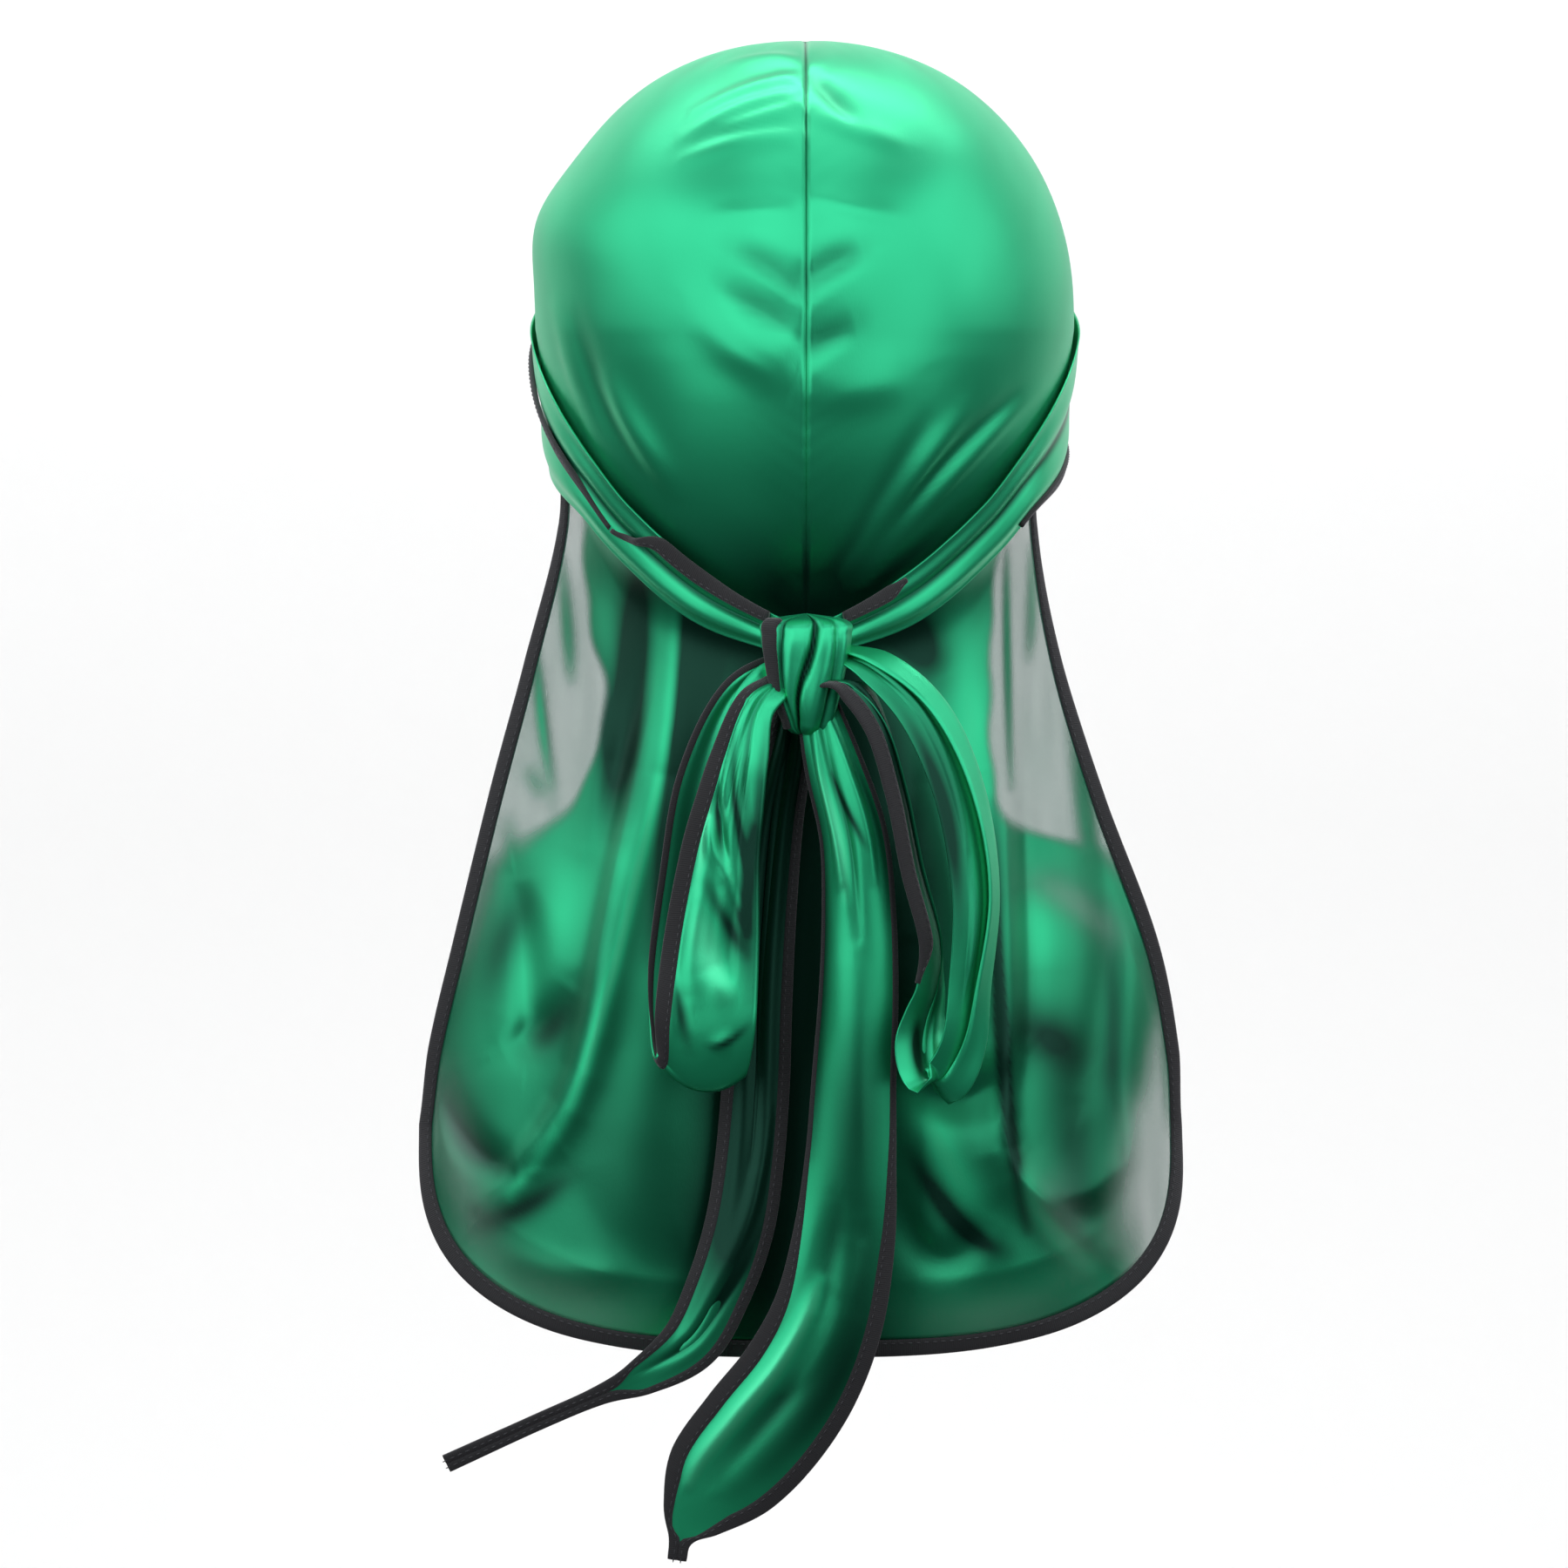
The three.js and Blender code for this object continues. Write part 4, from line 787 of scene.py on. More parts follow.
def tape_share(frames, side=0):
    """Share of the half width that tape covers. Where an edge is turned under, less of it shows."""
    narrow = 0.64 * soft_step(-frames["half"], -5.5, -3.2)
    limit = frames.get("most", TAPE_SHARE_LIMIT) + narrow
    share = np.minimum(TAPE_WIDTH * frames["tape"] / frames["half"], limit)
    return share * frames.get({-1: "turned_left", 1: "turned_right"}.get(side), 1)


def ribbon_surface(frames, places, folds=None):
    """Points and normals at places across the ribbon, -1 at one edge to 1 at the other."""
    half = frames["half"][:, None]
    satin = np.maximum(1 - tape_share(frames) - PIECE_GAP / frames["half"], 0.3)[:, None]
    depth = np.minimum(frames["pleat"], STEEPEST_PLEAT * frames["half"])[:, None] / 2
    inside = np.clip(places / satin, -1, 1)
    run = np.linspace(0, 1, len(half))[:, None]
    lift = -depth * 0.6 * np.cos(2 * np.pi * inside)
    if folds is not None:
        lift = lift + folds(run + 0 * places, places) * (1 - inside**6)
    bend = frames.get("curl", 0 * half[:, 0])[:, None] / 2
    bend = np.where(np.abs(bend) < 1e-4, 1e-4, bend)
    over, back = np.sin(bend * places) / bend, (np.cos(bend * places) - 1) / bend
    points = frames["point"][:, None] + frames["across"][:, None] * (over * half)[..., None]
    points = points + frames["out"][:, None] * (back * half)[..., None]
    facing = frames["out"][:, None] * np.cos(bend * places)[..., None]
    facing = facing + frames["across"][:, None] * np.sin(bend * places)[..., None]
    points = points + facing * lift[..., None]
    if "sag" in frames:
        points[..., 2] += frames["sag"][:, None] * ((places - 0.15) / 1.1) ** 2
    normal = grid_normals(points)
    normal *= np.sign((normal * facing).sum(-1, keepdims=True))
    return points, normal


# Radius of a folded edge and depth of the cloth behind it. The depth is a guess: no photo shows it.
TURN_RADIUS, TURN_UNDER = 0.8, 8.0
# Each added column: how far past the edge and below it in radii, how far back, and how far turned.
TURNED = [(math.sin(a), 1 - math.cos(a), 0, a) for a in np.linspace(0, math.pi, 7)[1:]]
TURNED += [(0, 2, -back, math.pi) for back in np.linspace(0, 1, 5)[1:]]


def turn_under(points, normal, half):
    """Carries the last edge of a ribbon round and straight back, as cloth that is folded under."""
    edge, way, out = points[:, -1], unit(points[:, -1] - points[:, -2]), normal[:, -1]
    room = np.maximum(soft_step(half, 2.4, 5), 0.06)[:, None]
    radius, under = TURN_RADIUS * room, np.minimum(TURN_UNDER, 1.5 * half)[:, None] * room
    folded = [
        edge + way * (past * radius + back * under) - out * below * radius for past, below, back, _ in TURNED
    ]
    facing = [way * math.sin(a) + out * math.cos(a) for *_, a in TURNED]
    return np.concatenate((points, np.stack(folded, 1)), 1), np.concatenate((normal, np.stack(facing, 1)), 1)


def ribbon_satin(name, frames, low, high, folds=None, turned=False):
    """The satin of a ribbon between the places low and high, given for each station."""
    share = np.linspace(0, 1, RIBBON_COLUMNS + 1)[None]
    places = mix(low[:, None], high[:, None], share)
    points, normal = ribbon_surface(frames, places, folds)
    if turned:
        points, normal = turn_under(points, normal, frames["half"])
    return add_cloth(name, points, normal)


def ribbon_grid(frames):
    """The share of the run, and the place across, of each point of a ribbon."""
    run = np.linspace(0, 1, len(frames["half"]))
    return np.meshgrid(run, np.linspace(-1, 1, RIBBON_COLUMNS + 1), indexing="ij")


def ribbon_tape(name, frames, side, folds=None):
    share = tape_share(frames, side)
    middle = side * (1 - share / 2)
    reach = share / 2 * frames["half"]
    points, normal = ribbon_surface(frames, middle[:, None] + np.array([[-0.02, 0.0, 0.02]]), folds)
    across = unit(points[:, 2] - points[:, 0])
    normal = unit(normal[:, 1])
    return add_tape(name, points[:, 1], across, normal, reach), (points[:, 1], across, normal, reach)


NOMINAL_HALF = 12.0


def drawn_folds(length, *rows):
    """Folds drawn on a ribbon: (place, run) pairs, width and height in millimetres, lean."""

    def height(run, places):
        x, z = places * NOMINAL_HALF, run * length
        total = 0 * x
        for points, width, rise, lean in rows:
            line = fold_line([(a * NOMINAL_HALF, b * length) for a, b in points])
            total = total + rise * fold_strength(line, width, lean, x, z)
        return total

    return height


STRAP_SECTIONS = table(
    "azimuth width shift pleat away",
    (142, 0.5, 0.0, 0.0, 0.0),
    (128, 0.74, 0.0, 0.1, 0.0),
    (110, 0.88, 0.0, 0.2, 0.0),
    (90, 0.86, 0.02, 0.35, 0.0),
    (72, 0.7, 0.0, 0.6, 0.0),
    (57, 0.52, 0.0, 0.8, 0.0),
    (40, 0.44, 0.0, 0.9, 0.03),
    (24, 0.38, 0.0, 1.0, 0.2),
    (12, 0.28, 0.0, 1.0, 0.6),
    (5, 0.24, 0.0, 0.8, 0.85),
)
print("strap stations:", len(STRAP_SECTIONS["azimuth"]))

# %% [markdown]
# On the head the straps lie over the crown's rim, from the temples back to the knot, and hide the
# seam of crown and cape. Each shows two bands with a crease between them. The black tape shows
# only in places: along the outer side, and along the upper edge close to the knot, because the
# rest of it is folded under.


# %% Straps round the head
def strap_frames(side, steps=230):
    azimuth = np.linspace(STRAP_ROOT_AZIMUTH, STRAP_SECTIONS["azimuth"][-1], steps)
    value = {name: smooth(STRAP_SECTIONS, "azimuth", name, azimuth) for name in STRAP_SECTIONS}
    pleat = value["pleat"] * PLEAT_DEPTH
    drop = rim_drop(azimuth) - value["shift"] * STRAP_WIDTH
    normal = head_normal(azimuth * side, drop)
    lift = SATIN + LAY_GAP + SATIN / 2 + pleat / 2
    point = head_point(azimuth * side, drop) + normal * lift[:, None]
    point[:, 1] -= value["away"] * KNOT_DEPTH
    course = unit(np.gradient(point, axis=0))
    across = unit(np.cross(normal, course))
    across *= np.sign(across[:, 2:3])
    out = unit(np.cross(course, across))
    out *= np.sign((out * normal).sum(1, keepdims=True))
    tape = np.full(steps, 0.1)
    half = value["width"] * STRAP_WIDTH / 2
    return dict(point=point, across=across, out=out, half=half, pleat=pleat, tape=tape, azimuth=azimuth)


def strap_band(run, places):
    """Two bands: the lower one stands off a little from the upper one, with a sharp step between."""
    gathered = soft_step(run, 0.25, 0.7)
    return -gathered * 1.1 * np.tanh((places - 0.05) * 10) * np.exp(-((places / 0.6) ** 2))


def painted_strap_shade(run, places):
    """Painted shade in the crease between the bands and on the upper band next to the knot."""
    crease = 0.9 * np.exp(-(((places - 0.1) / 0.1) ** 2)) * soft_step(run, 0.2, 0.5)
    return np.clip(crease + 0.35 * soft_step(places, 0.1, 0.5) * soft_step(run, 0.4, 0.8), 0, 1)


STRAP_TAPES = [
    # name, side, start azimuth, end azimuth, place across at the start and at the end
    ("strap_left_tape_upper", -1, 47, 9, -0.2, 0.8),
    ("strap_left_tape_outer", -1, 122, 47, 0.8, -0.2),
    ("strap_right_tape_upper", 1, 25, 9, 0.85, 0.75),
    ("strap_right_tape_outer", 1, 118, 52, -0.85, -0.8),
]
straps = {-1: strap_frames(-1), 1: strap_frames(1)}
tape_lines = {}
for side, name in ((-1, "strap_left"), (1, "strap_right")):
    edge = np.ones(len(straps[side]["half"]))
    pieces[name] = ribbon_satin(name + "_satin", straps[side], -edge, edge, folds=strap_band)
    mark(pieces[name], "deep", painted_strap_shade(*ribbon_grid(straps[side])))
for name, side, start, end, place0, place1 in STRAP_TAPES:
    frames = straps[side]
    keep = (frames["azimuth"] < start) & (frames["azimuth"] > end)
    part = {key: value[keep] for key, value in frames.items()}
    far = (start - part["azimuth"]) / (start - end)
    places = mix(place0, place1, far if name.endswith("outer") else soft_step(far, 0, 0.3))
    reach = np.minimum(TAPE_WIDTH / 2, part["half"] * 0.3)
    reach = reach * mix(0.3, 1, soft_step(far, 0, 0.35))
    if name.endswith("outer"):
        reach = reach * mix(1, 0.3, soft_step(far, 0.6, 0.95))
    points, normal = ribbon_surface(part, places[:, None] + np.array([[-0.02, 0.0, 0.02]]))
    centre = points[:, 1] + unit(normal[:, 1]) * (CLOTH / 2 + TAPE_THICK / 2)
    across, normal = unit(points[:, 2] - points[:, 0]), unit(normal[:, 1])
    pieces[name] = add_tape(name, centre, across, normal, reach)
    tape_lines[name] = (centre, across, normal, reach)
print("straps and their tapes:", 2 + len(STRAP_TAPES))

# %% [markdown]
# The bow has two loops and two tails. The left loop faces us, and its tape runs down its left
# edge. The right loop is seen from its side, so we look through it. The right tail hangs straight
# and opens to its full width at the end, where it tapers to a thin tie. The left tail hangs behind
# it and swings out to the left. Each is a list of stations, as shares of its own length, measured
# from the knot: across to the wearer's right, down, and out towards us.

# %% Stations of the bow and the tails
LOOP_LEFT = table(
    "across down out turn width pleat tip curl sag",
    (-0.04, 0.0, 0.02, 10, 0.2, 0.8, 0, 0, 0),
    (-0.12, 0.06, 0.1, 10, 0.28, 0.9, 0, 40, 0),
    (-0.165, 0.19, 0.14, -12, 0.4, 0.8, 0, 20, 0),
    (-0.19, 0.31, 0.15, -12, 0.47, 0.4, 0, 0, 0),
    (-0.212, 0.44, 0.152, -10, 0.54, 0.2, 0, -10, 0),
    (-0.232, 0.64, 0.166, -8, 0.64, 0.1, 0, 0, 0),
    (-0.248, 0.86, 0.196, -6, 0.68, 0.0, 0, 10, 4),
    (-0.256, 1.0, 0.15, -4, 0.62, 0.0, 0, 20, 8),
    (-0.272, 0.96, 0.08, -4, 0.62, 0.0, 0, 0, 11),
    (-0.275, 0.75, 0.055, -4, 0.62, 0.1, 0, 0, 4),
    (-0.262, 0.5, 0.05, 0, 0.54, 0.2, 0, 0, 0),
    (-0.235, 0.26, 0.045, 6, 0.46, 0.3, 0, 0, 0),
    (-0.165, 0.06, 0.02, 14, 0.32, 0.5, 0, 0, 0),
    (-0.04, -0.03, -0.03, 14, 0.2, 0.5, 0, 0, 0),
)
LOOP_RIGHT = table(
    "across down out turn width pleat tip curl sag",
    (0.03, 0.02, 0.04, 20, 0.24, 0.4, 0, 40, 0),
    (0.12, 0.02, 0.08, 36, 0.34, 0.3, 0, 50, 0),
    (0.195, 0.12, 0.1, 62, 0.38, 0.2, 0, 80, 0),
    (0.245, 0.29, 0.105, 74, 0.42, 0.1, 0, 90, 0),
    (0.285, 0.48, 0.105, 78, 0.46, 0.1, 0, 95, 0),
    (0.332, 0.66, 0.1, 74, 0.47, 0.0, 0, 80, 0),
    (0.328, 0.783, 0.105, 62, 0.47, 0, 0, 50, 0),
    (0.306, 0.860, 0.115, 44, 0.44, 0, 0, 30, 0),
    (0.293, 0.926, 0.128, 28, 0.44, 0, 0.05, 20, 0),
    (0.302, 0.985, 0.14, 20, 0.42, 0, 0.15, 20, 0),
    (0.328, 1.015, 0.15, 18, 0.40, 0, 0.3, 20, 0),
    (0.363, 0.985, 0.155, 24, 0.37, 0, 0.3, 10, 0),
    (0.394, 0.904, 0.158, 36, 0.37, 0, 0.1, -10, 0),
    (0.409, 0.783, 0.156, 44, 0.39, 0, 0, -30, 0),
    (0.43, 0.54, 0.145, 46, 0.46, 0.0, 0, -50, 0),
    (0.39, 0.3, 0.125, 38, 0.44, 0.1, 0, -50, 0),
    (0.3, 0.1, 0.09, 26, 0.4, 0.2, 0, -40, 0),
    (0.17, -0.02, 0.04, 14, 0.32, 0.3, 0, -20, 0),
    (0.03, -0.06, -0.03, 10, 0.22, 0.4, 0, 0, 0),
)
TAIL_LEFT = table(
    "across down out turn width pleat tip curl sag",
    (-0.01, 0.03, -0.02, 0, 0.26, 0.6, 0, 60, 0),
    (-0.022, 0.1, -0.022, 6, 0.36, 0.5, 0, 60, 0),
    (-0.039, 0.19, -0.026, 8, 0.42, 0.3, 0, 60, 0),
    (-0.05, 0.3, -0.026, 8, 0.44, 0.2, 0, 50, 0),
    (-0.058, 0.41, -0.02, 6, 0.46, 0.2, 0, 40, 0),
    (-0.063, 0.52, -0.012, 4, 0.48, 0.2, 0, 50, 0),
    (-0.072, 0.62, 0.0, 0, 0.5, 0.2, 0, 70, 0),
    (-0.085, 0.7, 0.012, 0, 0.51, 0.1, 0, 80, 0),
    (-0.11, 0.775, 0.02, 0, 0.48, 0.1, 0, 70, 0),
    (-0.145, 0.842, 0.024, 0, 0.42, 0.1, 0, 40, 0),
    (-0.205, 0.885, 0.024, 0, 0.27, 0.0, 0, 0, 0),
    (-0.262, 0.911, 0.02, 0, 0.14, 0.0, 0, 0, 0),
    (-0.34, 0.946, 0.016, 0, 0.12, 0.0, 0, 0, 0),
    (-0.455, 1.0, 0.01, 0, 0.13, 0.0, 0, 0, 0),
)
TAIL_RIGHT = table(
    "across down out turn width pleat tip curl sag",
    (0.012, 0.03, 0.015, 0, 0.3, 0.6, 0, 60, 0),
    (0.03, 0.1, 0.03, -6, 0.45, 0.4, 0, 90, 0),
    (0.05, 0.18, 0.04, -10, 0.54, 0.2, 0, 110, 0),
    (0.056, 0.27, 0.044, -10, 0.58, 0.0, 0, 110, 0),
    (0.056, 0.36, 0.048, -8, 0.61, 0.0, 0, 105, 0),
    (0.052, 0.45, 0.05, -6, 0.63, 0.0, 0, 95, 0),
    (0.049, 0.54, 0.052, -4, 0.66, 0.0, 0, 80, 0),
    (0.043, 0.63, 0.052, 0, 0.72, 0.0, 0, 60, 0),
    (0.025, 0.72, 0.052, 0, 0.78, 0.0, 0, 45, 0),
    (-0.008, 0.795, 0.05, 0, 0.85, 0.1, 0, 40, 0),
    (-0.054, 0.858, 0.048, 0, 0.88, 0.0, 0, 35, 0),
    (-0.1, 0.91, 0.046, 0, 0.78, 0.0, 0, 30, 0),
    (-0.13, 0.952, 0.044, 0, 0.44, 0.0, 0, 10, 0),
    (-0.142, 0.977, 0.044, 0, 0.17, 0.0, 0, 0, 0),
    (-0.146, 1.0, 0.044, 0, 0.13, 0.0, 0, 0, 0),
)
knot_centre = np.array((0.0, -KNOT_BACK, -KNOT_DROP))


def hanging_frames(stations, length, tape, steps=240):
    """Frames at even distances along a loop or a tail."""
    count = len(stations["across"])
    numbered = dict(stations, place=np.arange(count, dtype=float))
    fine = np.linspace(0, count - 1, 6 * steps)
    value = {name: smooth(numbered, "place", name, fine) for name in stations}
    point = knot_centre + stack(value["across"], -value["out"], -value["down"]) * length
    run = np.concatenate(([0], np.cumsum(np.linalg.norm(np.diff(point, axis=0), axis=1))))
    even = np.linspace(0, run[-1], steps)
    value = {name: np.interp(even, run, column) for name, column in value.items()}
    point = knot_centre + stack(value["across"], -value["out"], -value["down"]) * length
    course = unit(np.gradient(point, axis=0))
    turn = np.radians(value["turn"])
    across = stack(np.cos(turn), np.sin(turn), -value["tip"])
    across = unit(across - course * (across * course).sum(1, keepdims=True))
    out = unit(np.cross(course, across))
    frames = dict(
        point=point,
        across=across,
        out=out,
        half=value["width"] * STRAP_WIDTH / 2,
        pleat=value["pleat"] * PLEAT_DEPTH,
        tape=np.full(steps, tape),
        most=np.full(steps, TAPE_SHARE_LIMIT),
        curl=np.radians(value["curl"]),
        sag=value["sag"],
    )
    return frames, run[-1]


loop_left, loop_left_run = hanging_frames(LOOP_LEFT, LOOP_LEFT_LENGTH, 1.0)
loop_right, loop_right_run = hanging_frames(LOOP_RIGHT, LOOP_RIGHT_LENGTH, 1.1)
tail_left, tail_left_run = hanging_frames(TAIL_LEFT, TAIL_LEFT_LENGTH, 1.0)
tail_right, tail_right_run = hanging_frames(TAIL_RIGHT, TAIL_RIGHT_LENGTH, 1.05)
tail_right["turned_left"] = mix(0.35, 1, soft_step(np.linspace(0, 1, len(tail_right["half"])), 0.5, 0.75))
tail_right["turned_right"] = mix(0.45, 1, soft_step(np.linspace(0, 1, len(tail_right["half"])), 0.45, 0.65))
loop_left["most"] += 0.16
loop_right["most"] += 0.3
loop_left["tape"] *= 1 - 0.6 * soft_step(np.linspace(0, 1, len(loop_left["tape"])), 0.44, 0.56)
print("ribbon lengths, mm:", [round(r) for r in (loop_left_run, loop_right_run, tail_left_run, tail_right_run)])

# %% [markdown]
# Where a loop turns over at its lower end, the satin can't fold flat and buckles in a few short
# dents, and each ribbon keeps creases from the knot. They are drawn on the ribbon as lines too:
# place goes across it, from -1 to 1, and run is the share of its length. The right edges of both
# loops and of the left tail are folded under; how much cloth is folded there is a guess.


# %% Loops and tails
TAPE_PAST_SATIN = 0.12


def satin_low(frames):
    return -(1 - tape_share(frames, -1) * TAPE_PAST_SATIN)


def satin_high(frames):
    return 1 - tape_share(frames, 1) * TAPE_PAST_SATIN


def folded_edge(frames):
    return 1 - TURN_RADIUS / frames["half"]


def fold_below_tape(frames):
    return 1 - tape_share(frames, 1) * 0.5


LOOP_LEFT_FOLDS = drawn_folds(
    loop_left_run,
    ([(0.2, 0.03), (0.1, 0.08), (0.5, 0.17)], 1.6, -1.5, 0.4),
    ([(0.65, 0.04), (0.6, 0.1), (0.85, 0.18)], 1.8, 1.0, 0.0),
    ([(-0.4, 0.02), (-0.35, 0.08), (-0.5, 0.15)], 1.6, 0.9, 0.3),
    ([(-0.8, 0.11), (-0.25, 0.18), (0.25, 0.235)], 2.0, -1.5, 0.5),
    ([(-0.85, 0.16), (-0.2, 0.22), (0.3, 0.255)], 2.4, 1.3, 0.5),
    ([(0.35, 0.13), (0.7, 0.2), (0.75, 0.29)], 2.6, -1.2, -0.4),
    ([(-0.3, 0.26), (-0.5, 0.33), (-0.3, 0.38)], 4.0, 1.2, 0.3),
    ([(0.5, 0.27), (0.35, 0.33), (0.5, 0.38)], 3.0, -0.9, -0.2),
    ([(-0.1, 0.35), (0.3, 0.38), (0.7, 0.365)], 4.5, 0.8, 0.0),
    ([(-0.7, 0.36), (-0.55, 0.4), (-0.35, 0.44)], 2.8, -0.8, 0.3),
    ([(0.2, 0.435), (0.5, 0.42), (0.8, 0.425)], 3.0, 0.9, 0.3),
)
LOOP_RIGHT_FOLDS = drawn_folds(
    loop_right_run,
    ([(0.1, 0.36), (0.3, 0.42), (0.0, 0.48)], 3.0, -1.2, 0.3),
    ([(-0.5, 0.56), (0.0, 0.6), (-0.1, 0.68)], 2.6, -0.8, 0.3),
    ([(0.4, 0.55), (0.5, 0.66), (0.3, 0.8)], 3.2, 0.9, 0.3),
    ([(-0.3, 0.72), (-0.1, 0.84), (0.0, 0.97)], 2.4, -1.0, 0.3),
    ([(0.4, 0.84), (0.35, 0.92), (0.3, 0.99)], 1.8, 0.9, 0.3),
)
TAIL_LEFT_FOLDS = drawn_folds(
    tail_left_run,
    ([(0.1, 0.03), (-0.2, 0.25), (0.1, 0.5)], 2.6, -1.0, 0.3),
    ([(0.5, 0.45), (0.1, 0.58), (-0.3, 0.7)], 2.6, 1.2, 0.4),
    ([(0.6, 0.6), (0.1, 0.68), (-0.2, 0.76)], 2.2, -1.1, 0.3),
)
TAIL_RIGHT_FOLDS = drawn_folds(
    tail_right_run,
    ([(-0.5, 0.03), (-0.55, 0.1), (-0.35, 0.2)], 1.8, 1.3, 0.4),
    ([(-0.1, 0.03), (-0.15, 0.12), (0.05, 0.26)], 1.8, -1.4, 0.3),
    ([(0.45, 0.03), (0.4, 0.1), (0.5, 0.2)], 2.0, 1.2, -0.4),
    ([(0.0, 0.3), (0.15, 0.46), (0.3, 0.56)], 4.0, 0.8, 0.3),
    ([(-0.2, 0.55), (-0.3, 0.63), (-0.1, 0.68)], 3.2, -0.8, 0.3),
    ([(0.25, 0.6), (0.2, 0.7), (-0.1, 0.77)], 3.2, 1.2, 0.4),
    ([(-0.3, 0.64), (-0.55, 0.78), (-0.45, 0.92)], 2.0, 1.5, 0.3),
    ([(0.0, 0.66), (-0.15, 0.8), (-0.05, 0.9)], 3.0, -1.0, 0.3),
    ([(0.5, 0.68), (0.4, 0.8), (0.2, 0.9)], 3.0, 0.9, 0.3),
)
RIBBON_PAINTED_SHADE = {
    # painted shade where a ribbon lies in the shade of a fold or of the bow; the rise column is its strength, and
    # below 0 it is a painted highlight; where a ribbon shows its dull wrong side or lies in a fold's shade; below
    # 0 it is lighter
    "loop_left": drawn_folds(
        loop_left_run,
        ([(-0.3, 0.1), (0.35, 0.19), (0.8, 0.235)], 1.5, 1.0, 0),
        ([(-0.5, 0.16), (0.0, 0.21), (0.4, 0.255), (0.8, 0.305)], 1.9, 0.9, 0),
        ([(-0.35, 0.25), (0.2, 0.285), (0.75, 0.33)], 2.2, 0.8, 0),
        ([(0.9, 0.08), (0.95, 0.18), (0.85, 0.28), (0.95, 0.38)], 2.6, 1.0, 0),
        ([(-0.3, 0.155), (0.2, 0.235), (0.65, 0.28)], 1.2, -1.2, 0),
        ([(-0.3, 0.29), (0.0, 0.34), (0.4, 0.37)], 3.4, -0.9, 0),
        ([(-0.6, 0.12), (-0.55, 0.2), (-0.4, 0.27)], 1.4, -0.9, 0),
        ([(-0.6, 0.37), (-0.5, 0.4), (-0.3, 0.44)], 1.6, 0.6, 0),
        ([(0.9, 0.41), (0.5, 0.43), (0.1, 0.43)], 1.3, 1.0, 0),
        ([(-0.4, 0.52), (-0.2, 0.7), (-0.4, 0.9)], 9.0, 0.8, 0),
    ),
    "loop_right": drawn_folds(
        loop_right_run,
        ([(0.2, -0.05), (0.2, 0.15), (0.2, 0.38)], 12.0, 1.3, 0),
        ([(-0.5, 0.40), (-0.1, 0.43), (-0.3, 0.47)], 2.6, 1.1, 0),
        ([(0.6, 0.36), (0.7, 0.41), (0.4, 0.46)], 1.6, -1.0, 0),
        ([(-0.9, 0.6), (-0.75, 0.76), (-0.7, 0.93)], 6.0, 1.1, 0),
        ([(0.75, 0.62), (0.75, 0.76), (0.55, 0.9)], 2.4, -1.0, 0),
    ),
    "tail_left": drawn_folds(tail_left_run, ([(0.0, -0.3), (0.0, 0.3), (0.0, 0.7)], 24.0, 1.8, 0)),
    "tail_right": drawn_folds(
        tail_right_run,
        ([(-0.95, 0.06), (-0.9, 0.25), (-0.9, 0.5)], 2.8, 0.9, 0),
        ([(-0.1, 0.08), (0.1, 0.14), (0.35, 0.165)], 1.1, 1.0, 0),
        ([(-0.5, 0.06), (-0.35, 0.14), (-0.2, 0.22)], 1.8, -1.0, 0),
        ([(0.6, 0.05), (0.75, 0.12), (0.85, 0.24)], 1.4, 0.7, 0),
        ([(0.2, 0.34), (0.1, 0.46), (0.0, 0.62)], 9.0, 0.75, 0),
        ([(0.6, 0.56), (0.6, 0.72), (0.3, 0.88)], 8.0, 0.9, 0),
        ([(-0.3, 0.64), (-0.55, 0.78), (-0.45, 0.92)], 1.4, -1.5, 0),
    ),
}
BOW = [
    # name, frames, right edge of the satin, folds, share of the run with tape on each side
    ("loop_left", loop_left, folded_edge, LOOP_LEFT_FOLDS, {-1: 1.0}),
    ("loop_right", loop_right, folded_edge, LOOP_RIGHT_FOLDS, {-1: 0.37}),
    ("tail_left", tail_left, fold_below_tape, TAIL_LEFT_FOLDS, {-1: 1.0, 1: 1.0}),
    ("tail_right", tail_right, satin_high, TAIL_RIGHT_FOLDS, {-1: 1.0, 1: 1.0}),
]
for name, frames, high, folds, taped in BOW:
    turned = high in (folded_edge, fold_below_tape)
    pieces[name] = ribbon_satin(
        name + "_satin", frames, satin_low(frames), high(frames), folds=folds, turned=turned
    )
    run, place = ribbon_grid(frames)
    # Painted shade in the fold valleys, added to the drawn strokes; depth carries both to the deep attribute.
    painted_valley_shade = np.clip(-folds(run, place) / 2.2, 0, 0.6)
    depth = np.clip(RIBBON_PAINTED_SHADE[name](run, place) + painted_valley_shade, -1, 1)
    mark(pieces[name], "deep", np.pad(depth, ((0, 0), (0, len(TURNED) if turned else 0)), mode="edge"))
    for side, share in taped.items():
        label = name + ("_tape_left" if side < 0 else "_tape_right")
        count = int(len(frames["half"]) * share)
        part = {key: value[:count] for key, value in frames.items()}
        if share < 1:
            part["tape"] = part["tape"] * mix(1, 0.25, soft_step(np.linspace(0, 1, count), 0.86, 1))
        pieces[label], tape_lines[label] = ribbon_tape(label, part, side)
print("bow pieces:", sum(1 for name in pieces if name.startswith(("loop", "tail"))))

# %% [markdown]
# The knot is the ribbon's last turn, pulled tight from top to bottom over everything beneath it. A
# closed form with a table of widths gives its body. Creases run down it where the ribbon folds,
# and its left edge shows the black tape.

